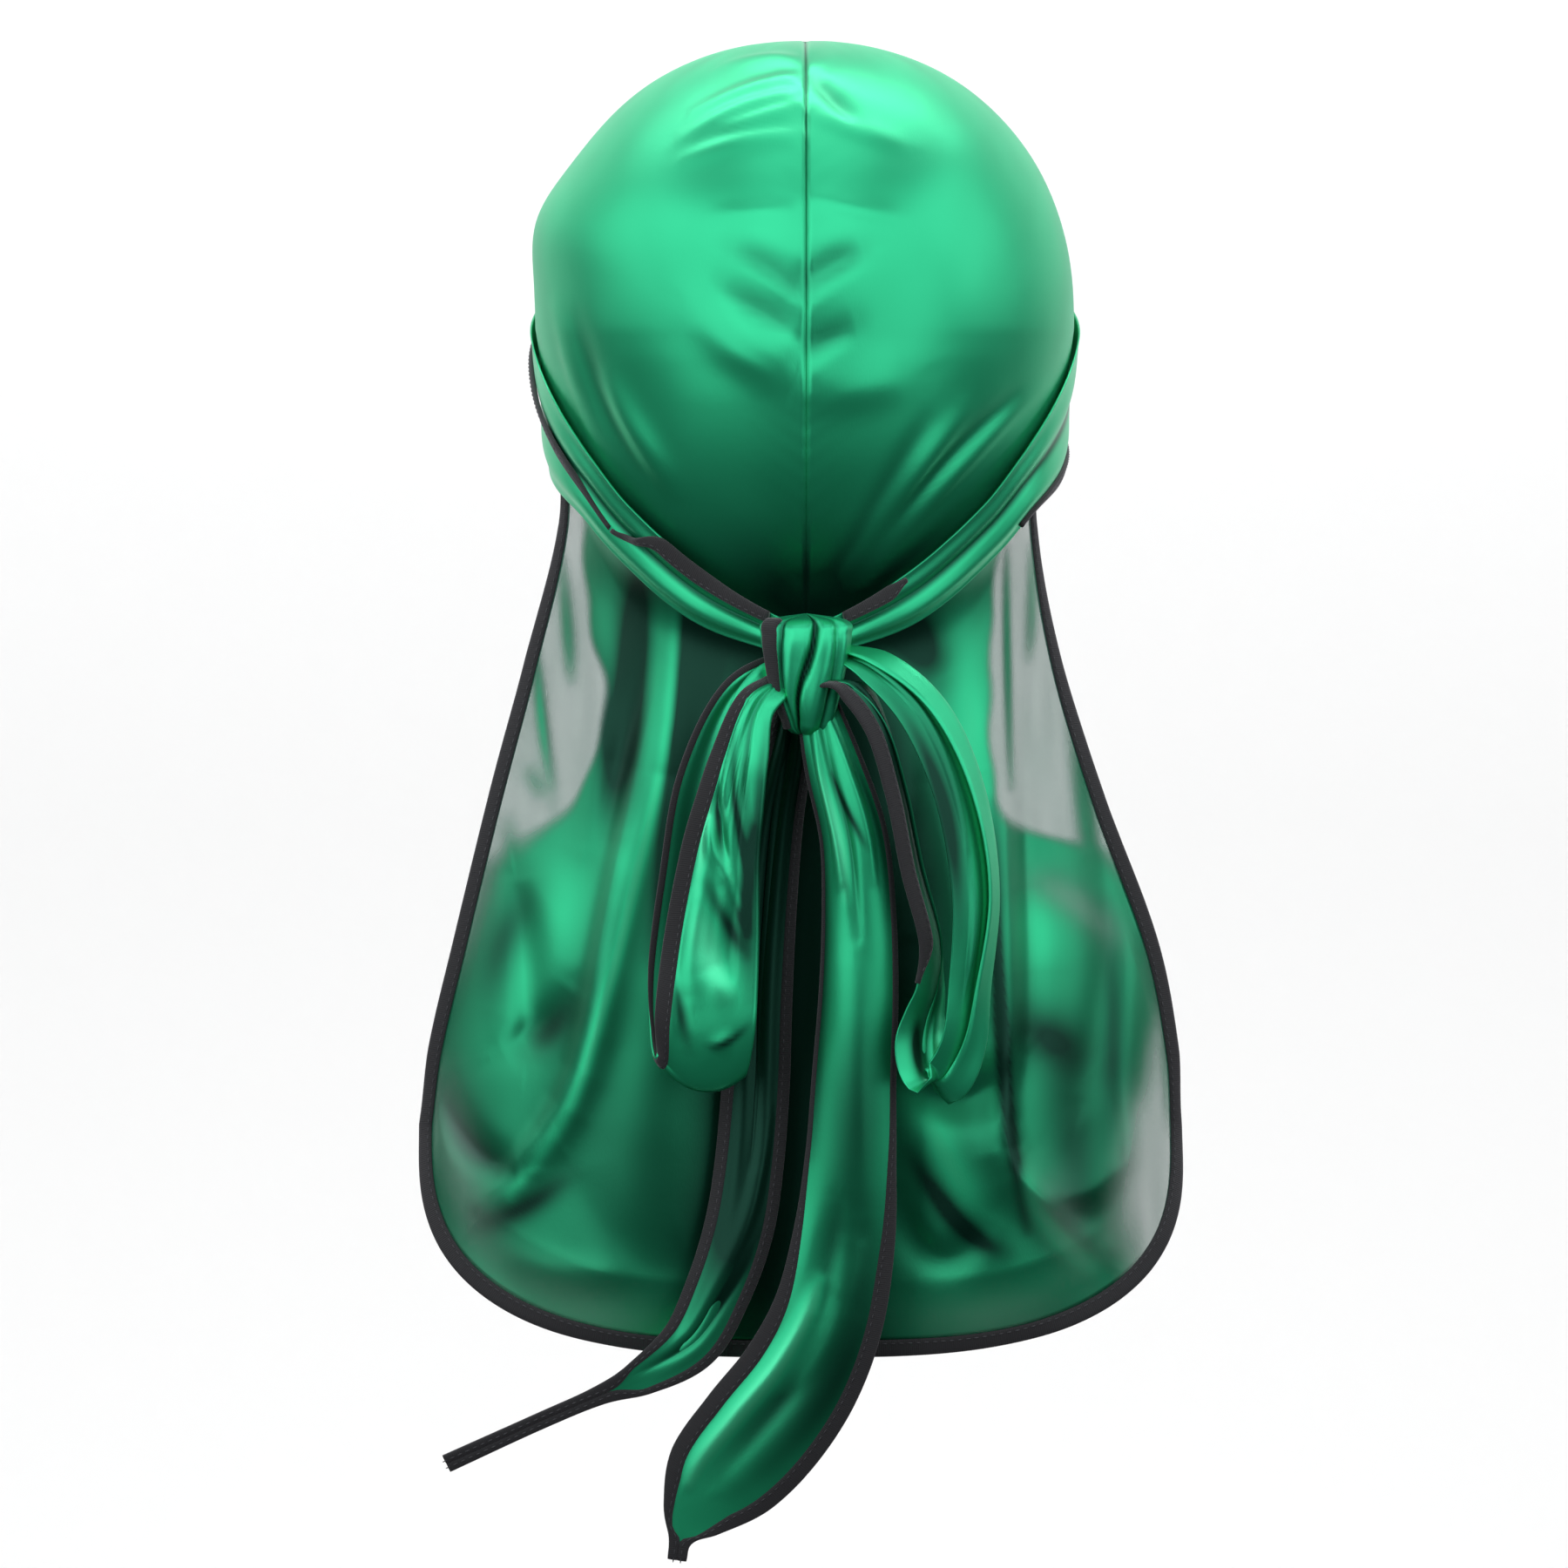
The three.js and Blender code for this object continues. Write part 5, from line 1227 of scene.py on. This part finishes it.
# %% The knot
KNOT_SECTIONS = table(
    "high width depth lean",
    (-1.0, 0.0, 0.0, 0.02),
    (-0.94, 0.38, 0.5, 0.02),
    (-0.7, 0.56, 0.78, 0.02),
    (-0.3, 0.74, 0.95, 0.0),
    (0.2, 0.9, 1.0, 0.0),
    (0.65, 1.0, 0.92, 0.0),
    (0.9, 0.88, 0.62, 0.0),
    (1.0, 0.0, 0.0, 0.0),
)
KNOT_CREASES = [
    # side share at the top and at the bottom, width, depth in millimetres
    (0.12, -0.3, 0.06, 2.6),
    (-0.5, -0.55, 0.07, 1.4),
    (0.68, 0.5, 0.1, 1.0),
]
KNOT_BANDS = [
    # side share of the middle of a band at the top and at the bottom, width, rise in millimetres
    (-0.22, -0.45, 0.2, 0.9),
    (0.42, 0.05, 0.24, 1.3),
    (0.85, 0.8, 0.12, 0.8),
]


def knot_crease(high, side):
    crease = 0 * side
    marks = KNOT_CREASES + [(top, bottom, wide, -rise) for top, bottom, wide, rise in KNOT_BANDS]
    for top, bottom, wide, deep in marks:
        line = mix(bottom, top, (high + 1) / 2) + 0.08 * np.sin(2.4 * high + 3 * top)
        crease = crease + deep * np.exp(-(((side - line) / wide) ** 2))
    return crease


def knot_point(high, turn, lift):
    value = {name: smooth(KNOT_SECTIONS, "high", name, high) for name in KNOT_SECTIONS}
    side, back = np.sin(turn), np.cos(turn)
    width, depth = KNOT_WIDTH * value["width"] / 2, KNOT_DEPTH * value["depth"] / 2
    point = stack(
        value["lean"] * KNOT_WIDTH + width * np.sign(side) * np.abs(side) ** 0.8,
        -depth * np.sign(back) * np.abs(back) ** 0.8,
        high * KNOT_HEIGHT / 2,
    )
    away = unit(point / np.array((KNOT_WIDTH, KNOT_DEPTH, KNOT_HEIGHT)) ** 2)
    crease = knot_crease(high, side) * np.clip(back * 2, 0, 1) * np.clip((1 - np.abs(high)) * 5, 0, 1)
    return knot_centre + point + away * (lift - crease)[..., None]


knot_rows, knot_columns = 90, 180
knot_high = np.cos(np.pi * np.linspace(0.003, 0.997, knot_rows))
knot_turn = np.linspace(0, 2 * np.pi, knot_columns, endpoint=False)
knot_turn, knot_high = np.meshgrid(knot_turn, knot_high)
knot_points = knot_point(knot_high, knot_turn, 0.4 + 0 * knot_high)
knot_place = stack(knot_turn * KNOT_WIDTH / 4, knot_high * KNOT_HEIGHT / 2) * MM
knot_inside_out = (grid_normals(knot_points) * (knot_points - knot_centre)).sum() < 0
knot_faces = grid_faces(knot_rows, knot_columns, knot_inside_out, ring=True)
knot = add_mesh("knot_satin", knot_points, knot_faces, knot_place)
pieces["knot"] = knot
# Painted shade darkens the knot's creases.
mark(knot, "deep", np.clip(knot_crease(knot_high, np.sin(knot_turn)) / 1.6, 0, 1))
knot_tape_steps = 60
knot_tape_high = np.linspace(0.9, -0.84, knot_tape_steps)
knot_tape_turn = np.linspace(-0.62, -0.8, knot_tape_steps) * 1.3
knot_tape_lift = 0.9 + 0 * knot_tape_high
knot_tape_ends = [knot_point(knot_tape_high, knot_tape_turn + d, knot_tape_lift) for d in (-0.2, 0.0, 0.2)]
knot_tape_across = unit(knot_tape_ends[2] - knot_tape_ends[0])
knot_tape_course = unit(np.gradient(knot_tape_ends[1], axis=0))
knot_tape_normal = unit(np.cross(knot_tape_course, knot_tape_across))
knot_tape_normal *= np.sign(-knot_tape_normal[:, 1:2])
knot_tape_half = mix(2.6, 1.7, np.linspace(0, 1, knot_tape_steps))
pieces["knot_tape"] = add_tape(
    "knot_edge_tape", knot_tape_ends[1], knot_tape_across, knot_tape_normal, knot_tape_half
)
print("knot points:", knot_points.shape[0] * knot_points.shape[1])

# %% [markdown]
# Black tape is sewn on with a row of small stitches near its inner edge. Thousands of the same
# tiny shape along a path are work for Geometry Nodes: the tree turns a guide line into a curve,
# cuts it at the stitch length, and puts one small bead of thread at each cut, turned along the
# line. The guide carries the outward direction as an attribute, so the beads lie on the tape.


# %% A tree that sews stitches along guide lines
STITCH_SPACING, STITCH_LENGTH, THREAD_WIDTH = 2.4, 1.7, 0.42


def add_node(tree, kind, inputs=None, **settings):
    """Adds a node, sets its properties, and fills inputs with values or links."""
    node = tree.nodes.new(kind)
    for name, value in settings.items():
        setattr(node, name, value)
    for key, value in (inputs or {}).items():
        if isinstance(value, bpy.types.NodeSocket):
            tree.links.new(value, node.inputs[key])
        else:
            node.inputs[key].default_value = value
    return node


def stitch_tree(material):
    tree = bpy.data.node_groups.new("sewn_row", "GeometryNodeTree")
    tree.interface.new_socket("Geometry", in_out="INPUT", socket_type="NodeSocketGeometry")
    sizes = {"Stitch spacing": STITCH_SPACING, "Stitch length": STITCH_LENGTH, "Thread width": THREAD_WIDTH}
    for name, size in sizes.items():
        socket = tree.interface.new_socket(name, in_out="INPUT", socket_type="NodeSocketFloat")
        socket.default_value = size * MM
    tree.interface.new_socket("Geometry", in_out="OUTPUT", socket_type="NodeSocketGeometry")
    source = add_node(tree, "NodeGroupInput")
    outward = add_node(tree, "GeometryNodeInputNamedAttribute", {"Name": "outward"}, data_type="FLOAT_VECTOR")
    curve = add_node(tree, "GeometryNodeMeshToCurve", {"Mesh": source.outputs["Geometry"]})
    cut = add_node(
        tree,
        "GeometryNodeResampleCurve",
        {"Curve": curve.outputs["Curve"], "Length": source.outputs["Stitch spacing"]},
        mode="LENGTH",
    )
    tangent = add_node(tree, "GeometryNodeInputTangent")
    along = add_node(tree, "FunctionNodeAlignEulerToVector", {"Vector": tangent.outputs[0]}, axis="X")
    upright = add_node(
        tree,
        "FunctionNodeAlignEulerToVector",
        {"Rotation": along.outputs[0], "Vector": outward.outputs["Attribute"]},
        axis="Z",
        pivot_axis="X",
    )
    bead = add_node(tree, "GeometryNodeMeshIcoSphere", {"Radius": 0.5, "Subdivisions": 1})
    thread_width = source.outputs["Thread width"]
    size = add_node(
        tree,
        "ShaderNodeCombineXYZ",
        {"X": source.outputs["Stitch length"], "Y": thread_width, "Z": thread_width},
    )
    placed = add_node(
        tree,
        "GeometryNodeInstanceOnPoints",
        {
            "Points": cut.outputs[0],
            "Instance": bead.outputs["Mesh"],
            "Rotation": upright.outputs[0],
            "Scale": size.outputs[0],
        },
    )
    real = add_node(tree, "GeometryNodeRealizeInstances", {"Geometry": placed.outputs[0]})
    finish = add_node(tree, "GeometryNodeSetMaterial", {"Geometry": real.outputs[0], "Material": material})
    add_node(tree, "NodeGroupOutput", {"Geometry": finish.outputs[0]})
    return tree


def sewn_rows(name, lines, tree):
    """One plain mesh of stitches along all the lines, each (points, outward directions)."""
    points = np.concatenate([line for line, _ in lines]) * MM
    outward = np.concatenate([way for _, way in lines])
    edges, start = [], 0
    for line, _ in lines:
        edges += [(start + i, start + i + 1) for i in range(len(line) - 1)]
        start += len(line)
    guide = bpy.data.meshes.new(name + "_guide")
    guide.from_pydata(points.tolist(), edges, [])
    attribute = guide.attributes.new("outward", "FLOAT_VECTOR", "POINT")
    attribute.data.foreach_set("vector", outward.astype(np.float32).ravel())
    carrier = bpy.data.objects.new(name + "_guide", guide)
    bpy.context.scene.collection.objects.link(carrier)
    sewing = carrier.modifiers.new("sewing", "NODES")
    sewing.node_group = tree
    inputs = {s.name: s.identifier for s in tree.interface.items_tree if s.in_out == "INPUT"}
    sewing[inputs["Stitch spacing"]] = STITCH_SPACING * MM
    seen = carrier.evaluated_get(bpy.context.evaluated_depsgraph_get())
    mesh = bpy.data.meshes.new_from_object(seen)
    mesh.name = name
    piece = bpy.data.objects.new(name, mesh)
    bpy.context.scene.collection.objects.link(piece)
    bpy.data.objects.remove(carrier)
    return piece


print("stitch tree is made once and used for every row")

# %% [markdown]
# Colours are written as in any paint program, as sRGB hex values, and one function turns them to
# the linear values that a shader needs.


# %% Colour
def linear(code):
    """sRGB hex to linear RGBA."""
    parts = [int(code[i : i + 2], 16) / 255 for i in (1, 3, 5)]
    return (*[p / 12.92 if p <= 0.04045 else ((p + 0.055) / 1.055) ** 2.4 for p in parts], 1.0)


def new_material(name):
    material = bpy.data.materials.new(name)
    material.use_nodes = True
    material.node_tree.nodes.clear()
    return material


print("middle green is", [round(v, 3) for v in linear("#12965A")[:3]])

# %% [markdown]
# Polyester charmeuse satin: long threads float over the weave on the face side, so light skates
# along them. It gives a deep, saturated green with broad soft highlights that are almost mint, and
# it goes nearly black where the cloth turns away from the light, as metal does. So the shader is
# partly metallic, with a roughness that blurs the highlight and an anisotropy that stretches it
# across the floats. Single threads are about 0.1 mm, too fine for the picture, so the grain is
# drawn at 0.5 mm, only just strong enough to break up the shine. Two point attributes steer it:
# sheer lets the studio through, and deep holds painted shade above 0, which darkens the green, and
# painted highlight below 0, which lightens it.

# %% Satin
THREAD_GRAIN = 0.5 * MM


def mix_socket(node, letter):
    """The colour socket A or B of a Mix node."""
    return [s for s in node.inputs if s.name == letter and s.type == "RGBA"][0]


def colour_mix(tree, share, first, second):
    """Mixes two colours; each is a sRGB name or the output of another mix."""
    node = add_node(tree, "ShaderNodeMix", {"Factor": share}, data_type="RGBA")
    for letter, colour in (("A", first), ("B", second)):
        if isinstance(colour, str):
            mix_socket(node, letter).default_value = linear(colour)
        else:
            tree.links.new(colour, mix_socket(node, letter))
    return [s for s in node.outputs if s.type == "RGBA"][0]


def satin_material():
    material = new_material("polyester_charmeuse_satin")
    tree = material.node_tree
    weave = add_node(tree, "ShaderNodeUVMap", uv_map="weave")
    stretch = add_node(tree, "ShaderNodeMapping", {"Vector": weave.outputs["UV"], "Scale": (1, 0.35, 1)})
    grain = add_node(
        tree,
        "ShaderNodeTexNoise",
        {"Vector": stretch.outputs["Vector"], "Scale": 1 / THREAD_GRAIN, "Detail": 2.0, "Roughness": 0.6},
    )
    bump = add_node(tree, "ShaderNodeBump", {"Height": grain.outputs["Fac"], "Strength": 0.2, "Distance": 0.12 * MM})
    cloudy = add_node(tree, "ShaderNodeTexNoise", {"Vector": weave.outputs["UV"], "Scale": 40.0, "Detail": 1.0})
    cloud = add_node(
        tree,
        "ShaderNodeMapRange",
        {"Value": cloudy.outputs["Fac"], "From Min": 0.3, "From Max": 0.7, "To Min": 0.0, "To Max": 1.0},
    )
    sheer = add_node(tree, "ShaderNodeAttribute", attribute_name="sheer").outputs["Fac"]
    deep = add_node(tree, "ShaderNodeAttribute", attribute_name="deep").outputs["Fac"]
    # deep above 0 mixes in the painted shade colour #083A2D, below 0 the painted highlight colour #58F0B4.
    painted_highlight_share = add_node(tree, "ShaderNodeMath", {0: deep, 1: -1.0}, operation="MULTIPLY", use_clamp=True)
    green = colour_mix(tree, cloud.outputs["Result"], "#2CC28A", "#32CE94")
    shaded_colour = colour_mix(tree, deep, green, "#083A2D")
    highlighted_colour = colour_mix(tree, painted_highlight_share.outputs["Value"], shaded_colour, "#58F0B4")
    coloured = colour_mix(tree, sheer, highlighted_colour, "#4C7C70")
    metal = add_node(tree, "ShaderNodeMapRange", {"Value": sheer, "To Min": 0.78, "To Max": 0.0})
    cover = add_node(tree, "ShaderNodeMapRange", {"Value": sheer, "To Min": 1.0, "To Max": 0.42})
    floats = add_node(tree, "ShaderNodeTangent", direction_type="UV_MAP", uv_map="weave")
    shader = add_node(
        tree,
        "ShaderNodeBsdfPrincipled",
        {
            "Base Color": coloured,
            "Metallic": metal.outputs["Result"],
            "Roughness": 0.4,
            "Anisotropic": 0.4,
            "Tangent": floats.outputs["Tangent"],
            "Normal": bump.outputs["Normal"],
            "Alpha": cover.outputs["Result"],
        },
    )
    add_node(tree, "ShaderNodeOutputMaterial", {"Surface": shader.outputs["BSDF"]})
    return material


satin = satin_material()
print("satin is", satin.name)

# %% [markdown]
# The binding is a plain woven polyester tape, dyed black. It is matt, with a fine rib across its
# length and a faint dusty light along its edges, which is why it looks charcoal and not black
# where the light is strong. Its ribs are about 0.6 mm apart. The sewing thread is the same black
# with a little more shine, so the stitches show only as a row of small glints.

# %% Tape and thread
TAPE_RIB = 0.6 * MM


def tape_material():
    material = new_material("woven_polyester_tape")
    tree = material.node_tree
    weave = add_node(tree, "ShaderNodeUVMap", uv_map="weave")
    rib = add_node(
        tree,
        "ShaderNodeTexWave",
        {"Vector": weave.outputs["UV"], "Scale": 1 / TAPE_RIB / 6.2832 * 2, "Distortion": 0.6, "Detail": 1.0},
        wave_type="BANDS",
        bands_direction="Y",
    )
    fuzz = add_node(tree, "ShaderNodeTexNoise", {"Vector": weave.outputs["UV"], "Scale": 900.0, "Detail": 2.0})
    height = add_node(tree, "ShaderNodeMath", {0: rib.outputs["Fac"], 1: fuzz.outputs["Fac"]}, operation="ADD")
    bump = add_node(
        tree, "ShaderNodeBump", {"Height": height.outputs["Value"], "Strength": 0.35, "Distance": 0.2 * MM}
    )
    shader = add_node(
        tree,
        "ShaderNodeBsdfPrincipled",
        {
            "Base Color": linear("#1F2024"),
            "Roughness": 0.82,
            "Sheen Weight": 0.5,
            "Sheen Roughness": 0.5,
            "Sheen Tint": linear("#B9B4BC"),
            "Normal": bump.outputs["Normal"],
        },
    )
    add_node(tree, "ShaderNodeOutputMaterial", {"Surface": shader.outputs["BSDF"]})
    return material


def thread_material():
    material = new_material("polyester_sewing_thread")
    tree = material.node_tree
    shader = add_node(tree, "ShaderNodeBsdfPrincipled", {"Base Color": linear("#3A3A40"), "Roughness": 0.5})
    add_node(tree, "ShaderNodeOutputMaterial", {"Surface": shader.outputs["BSDF"]})
    return material


tape = tape_material()
thread = thread_material()
print("tape is", tape.name, "and thread is", thread.name)


# %% [markdown]
# The stitch rows run about a millimetre in from the tape's inner edge. Inner means the side where the
# satin is, so the sign differs from tape to tape. Two more rows run across the front end of each
# strap, where it is sewn down on the crown at the temple.


# %% Sew the rows
STITCH_INSET = 1.1
NARROWEST_SEWN = 1.2  # half width of a tape that is still wide enough for a row
STRAP_END_ROWS = (2, 6)  # stations of the strap, counted from its front end


def row_beside(centre, across, normal, reach, side):
    """A line on the face of a tape, near one of its edges."""
    inset = np.maximum(np.broadcast_to(reach, centre.shape[:1]) - STITCH_INSET, 0)[:, None]
    return centre + across * side * inset + normal * (TAPE_THICK / 2 * 0.98), normal


sewing = stitch_tree(thread)
facing_us = hem_normal * np.sign(-hem_normal[:, 1:2])
rows = [row_beside(hem_centre, hem_away, facing_us, TAPE_WIDTH / 2, -1)]
for label, (centre, across, normal, reach) in tape_lines.items():
    inner = -1 if label.endswith("_right") or label.endswith("_upper") else 1
    reach = np.broadcast_to(reach, centre.shape[:1])
    keep = reach > NARROWEST_SEWN
    rows.append(row_beside(centre[keep], across[keep], normal[keep], reach[keep], inner))
rows.append(row_beside(front_centre, front_across, front_normal, TAPE_WIDTH / 2, 1))
for frames in straps.values():
    points, normal = ribbon_surface(frames, np.linspace(-0.9, 0.9, 30)[None], strap_band)
    for station in STRAP_END_ROWS:
        rows.append((points[station] + normal[station] * CLOTH / 2, normal[station]))
stitches = sewn_rows("sewn_stitches", rows, sewing)
print("stitches have", len(stitches.data.polygons), "faces")

# %% [markdown]
# Each piece now gets its material, rides on the one body of this part, and hides the solid it
# stands for. The cloth's area is printed, and further on set against the size it was cut to: cloth
# hardly stretches, and a sheet with far too much or too little area wasn't made from that cut.

# %% Dress the solids
TAPES = [name for name in pieces if "tape" in name or "binding" in name]
for name, piece in pieces.items():
    is_tape = name in TAPES
    piece.data.materials.clear()
    piece.data.materials.append(tape if is_tape else satin)
    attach(piece, "root")
    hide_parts(name)
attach(stitches, "root")


def cloth_area(piece):
    return sum(p.area for p in piece.data.polygons)


for name, piece in pieces.items():
    if name not in TAPES:
        print(name, "area", round(cloth_area(piece), 4), "square metres")

# %% [markdown]
# A tie is cut as one long strip. Its satin is as wide as the right tail's where it lies open, with
# the edges that are bound in its tapes, and as long as the ribbon runs. A strap is as wide as its
# widest place, because the rest of it is gathered. The crown's panels and the cape have no such
# measure, so they are taken as cut to the very size that they have here, without stretch.

# %% Flat sizes of the cloth
TIE_SATIN_WIDTH = ((satin_high(tail_right) - satin_low(tail_right)) * tail_right["half"]).max()
print("a tie's satin is cut", round(TIE_SATIN_WIDTH, 1), "mm wide")


def run_of(frames):
    return np.linalg.norm(np.diff(frames["point"], axis=0), axis=1).sum()


def own_size(piece):
    """Mean width and length of a cloth along its weave, in metres."""
    corners = np.zeros(2 * len(piece.data.loops), np.float32)
    piece.data.uv_layers["weave"].data.foreach_get("uv", corners)
    return tuple(float(size) for size in corners.reshape(-1, 2).max(axis=0))


def satin_share(frames):
    """How much of a tail's strip is satin. It narrows to nothing where the tail is all tape."""
    place = np.linspace(0, 1, len(frames["half"]))
    narrows = place[frames["half"] > 0.9 * frames["half"].max()].max()
    ends = place[frames["half"] > 0.6 * TAPE_WIDTH].max()
    return (narrows + ends) / 2


def declare(name, flat, area=None):
    """Prints what a sheet was cut to and the share of that cut area it has."""
    area = flat[0] * flat[1] if area is None else area
    has = cloth_area(pieces[name]) / area
    print(name, "cut", [round(size, 3) for size in flat], "has", round(has, 3), "of its cut area")


for name in ("crown_left", "crown_right"):
    declare(name, own_size(pieces[name]), cloth_area(pieces[name]))
declare("cape", own_size(pieces["cape"]), cloth_area(pieces["cape"]))
for side, hand in ((-1, "left"), (1, "right")):
    strap_flat = (2 * straps[side]["half"].max() * MM, run_of(straps[side]) * MM)
    declare(f"strap_{hand}", strap_flat)
for name, frames, *_ in BOW:
    tie_flat = (TIE_SATIN_WIDTH * MM, run_of(frames) * MM)
    satin_part = satin_share(frames) if name.startswith("tail") else 1
    declare(name, tie_flat, tie_flat[0] * tie_flat[1] * satin_part)

# %% [markdown]
# The studio is a pale floor that curves up behind the wrap into a pale wall. Satin shows what is
# round it, so the lights make the picture. Soft panels stand close by on both sides of the camera
# and at the flanks, with one high in front and one overhead, and the rest of the room is dim.
# Cloth that faces up or sideways catches a panel and shines, and cloth that turns down or straight
# at the camera sees the dim room and stays deep green. A wash brightens the wall only. Product
# photographs keep full colour up to white, so the picture uses the plain "Standard" view, and not
# the film-like one, which would bleach this green.

# %% Floor and wall
FLOOR_DROP = -1.3
WALL_RADIUS, CURVE_RADIUS, WALL_TOP = 2.9, 0.8, 2.4
WALL_HALF_TURN = math.radians(58)
bend = np.linspace(0, np.pi / 2, 16)
profile = [(0.02, FLOOR_DROP), (1.0, FLOOR_DROP)]
profile += [
    (WALL_RADIUS - CURVE_RADIUS * (1 - math.sin(a)), FLOOR_DROP + CURVE_RADIUS * (1 - math.cos(a)))
    for a in bend
]
profile += [(WALL_RADIUS, WALL_TOP)]
turns = np.linspace(-WALL_HALF_TURN, WALL_HALF_TURN, 60)
studio_points = np.array([[(r * math.sin(t), r * math.cos(t), z) for t in turns] for r, z in profile])
studio_faces = grid_faces(len(profile), len(turns), flip=False)
studio = add_mesh("studio_floor", studio_points / MM, studio_faces, studio_points[..., :2])
paper = new_material("pale_studio_paper")
paper_shader = add_node(
    paper.node_tree, "ShaderNodeBsdfPrincipled", {"Base Color": linear("#F4F4F4"), "Roughness": 0.9}
)
add_node(paper.node_tree, "ShaderNodeOutputMaterial", {"Surface": paper_shader.outputs["BSDF"]})
studio.data.materials.append(paper)
bpy.context.scene.view_settings.view_transform = "Standard"
print("wall stands", WALL_RADIUS, "m away")

# %% Lights
LIGHTS = [
    # name, place, aim, width, height, watts
    ("front_left", (-0.78, -0.84, 0.22), (0, 0, -0.1), 1.0, 1.3, 6.0),
    ("front_right", (0.78, -0.84, 0.22), (0, 0, -0.1), 1.0, 1.3, 5.2),
    ("side_left", (-1.12, 0.0, 0.4), (0, 0, -0.1), 0.75, 0.95, 3.2),
    ("side_right", (1.12, 0.0, 0.4), (0, 0, -0.1), 0.75, 0.95, 3.2),
    ("front_top", (0.0, -0.98, 0.54), (0, 0, -0.1), 0.95, 0.95, 3.6),
    ("overhead", (0.0, -0.1, 1.1), (0, 0, 0), 1.2, 1.0, 4.5),
    ("wall_wash", (0.0, 0.9, 1.6), (0, 2.7, -0.6), 3.2, 0.6, 72),
]
for name, place, aim, width, height, watts in LIGHTS:
    lamp = bpy.data.lights.new(name, "AREA")
    lamp.shape = "RECTANGLE"
    lamp.size, lamp.size_y, lamp.energy = width, height, watts
    holder = bpy.data.objects.new(name, lamp)
    holder.location = place
    away = np.array(place) - np.array(aim)
    flat = math.hypot(away[0], away[1])
    holder.rotation_euler = (math.atan2(flat, away[2]), 0, math.atan2(away[0], -away[1]))
    bpy.context.scene.collection.objects.link(holder)
world = bpy.data.worlds.new("studio_air")
world.use_nodes = True
world.node_tree.nodes["Background"].inputs["Color"].default_value = linear("#E8ECEC")
world.node_tree.nodes["Background"].inputs["Strength"].default_value = 0.08
bpy.context.scene.world = world
print("lights:", len(LIGHTS))
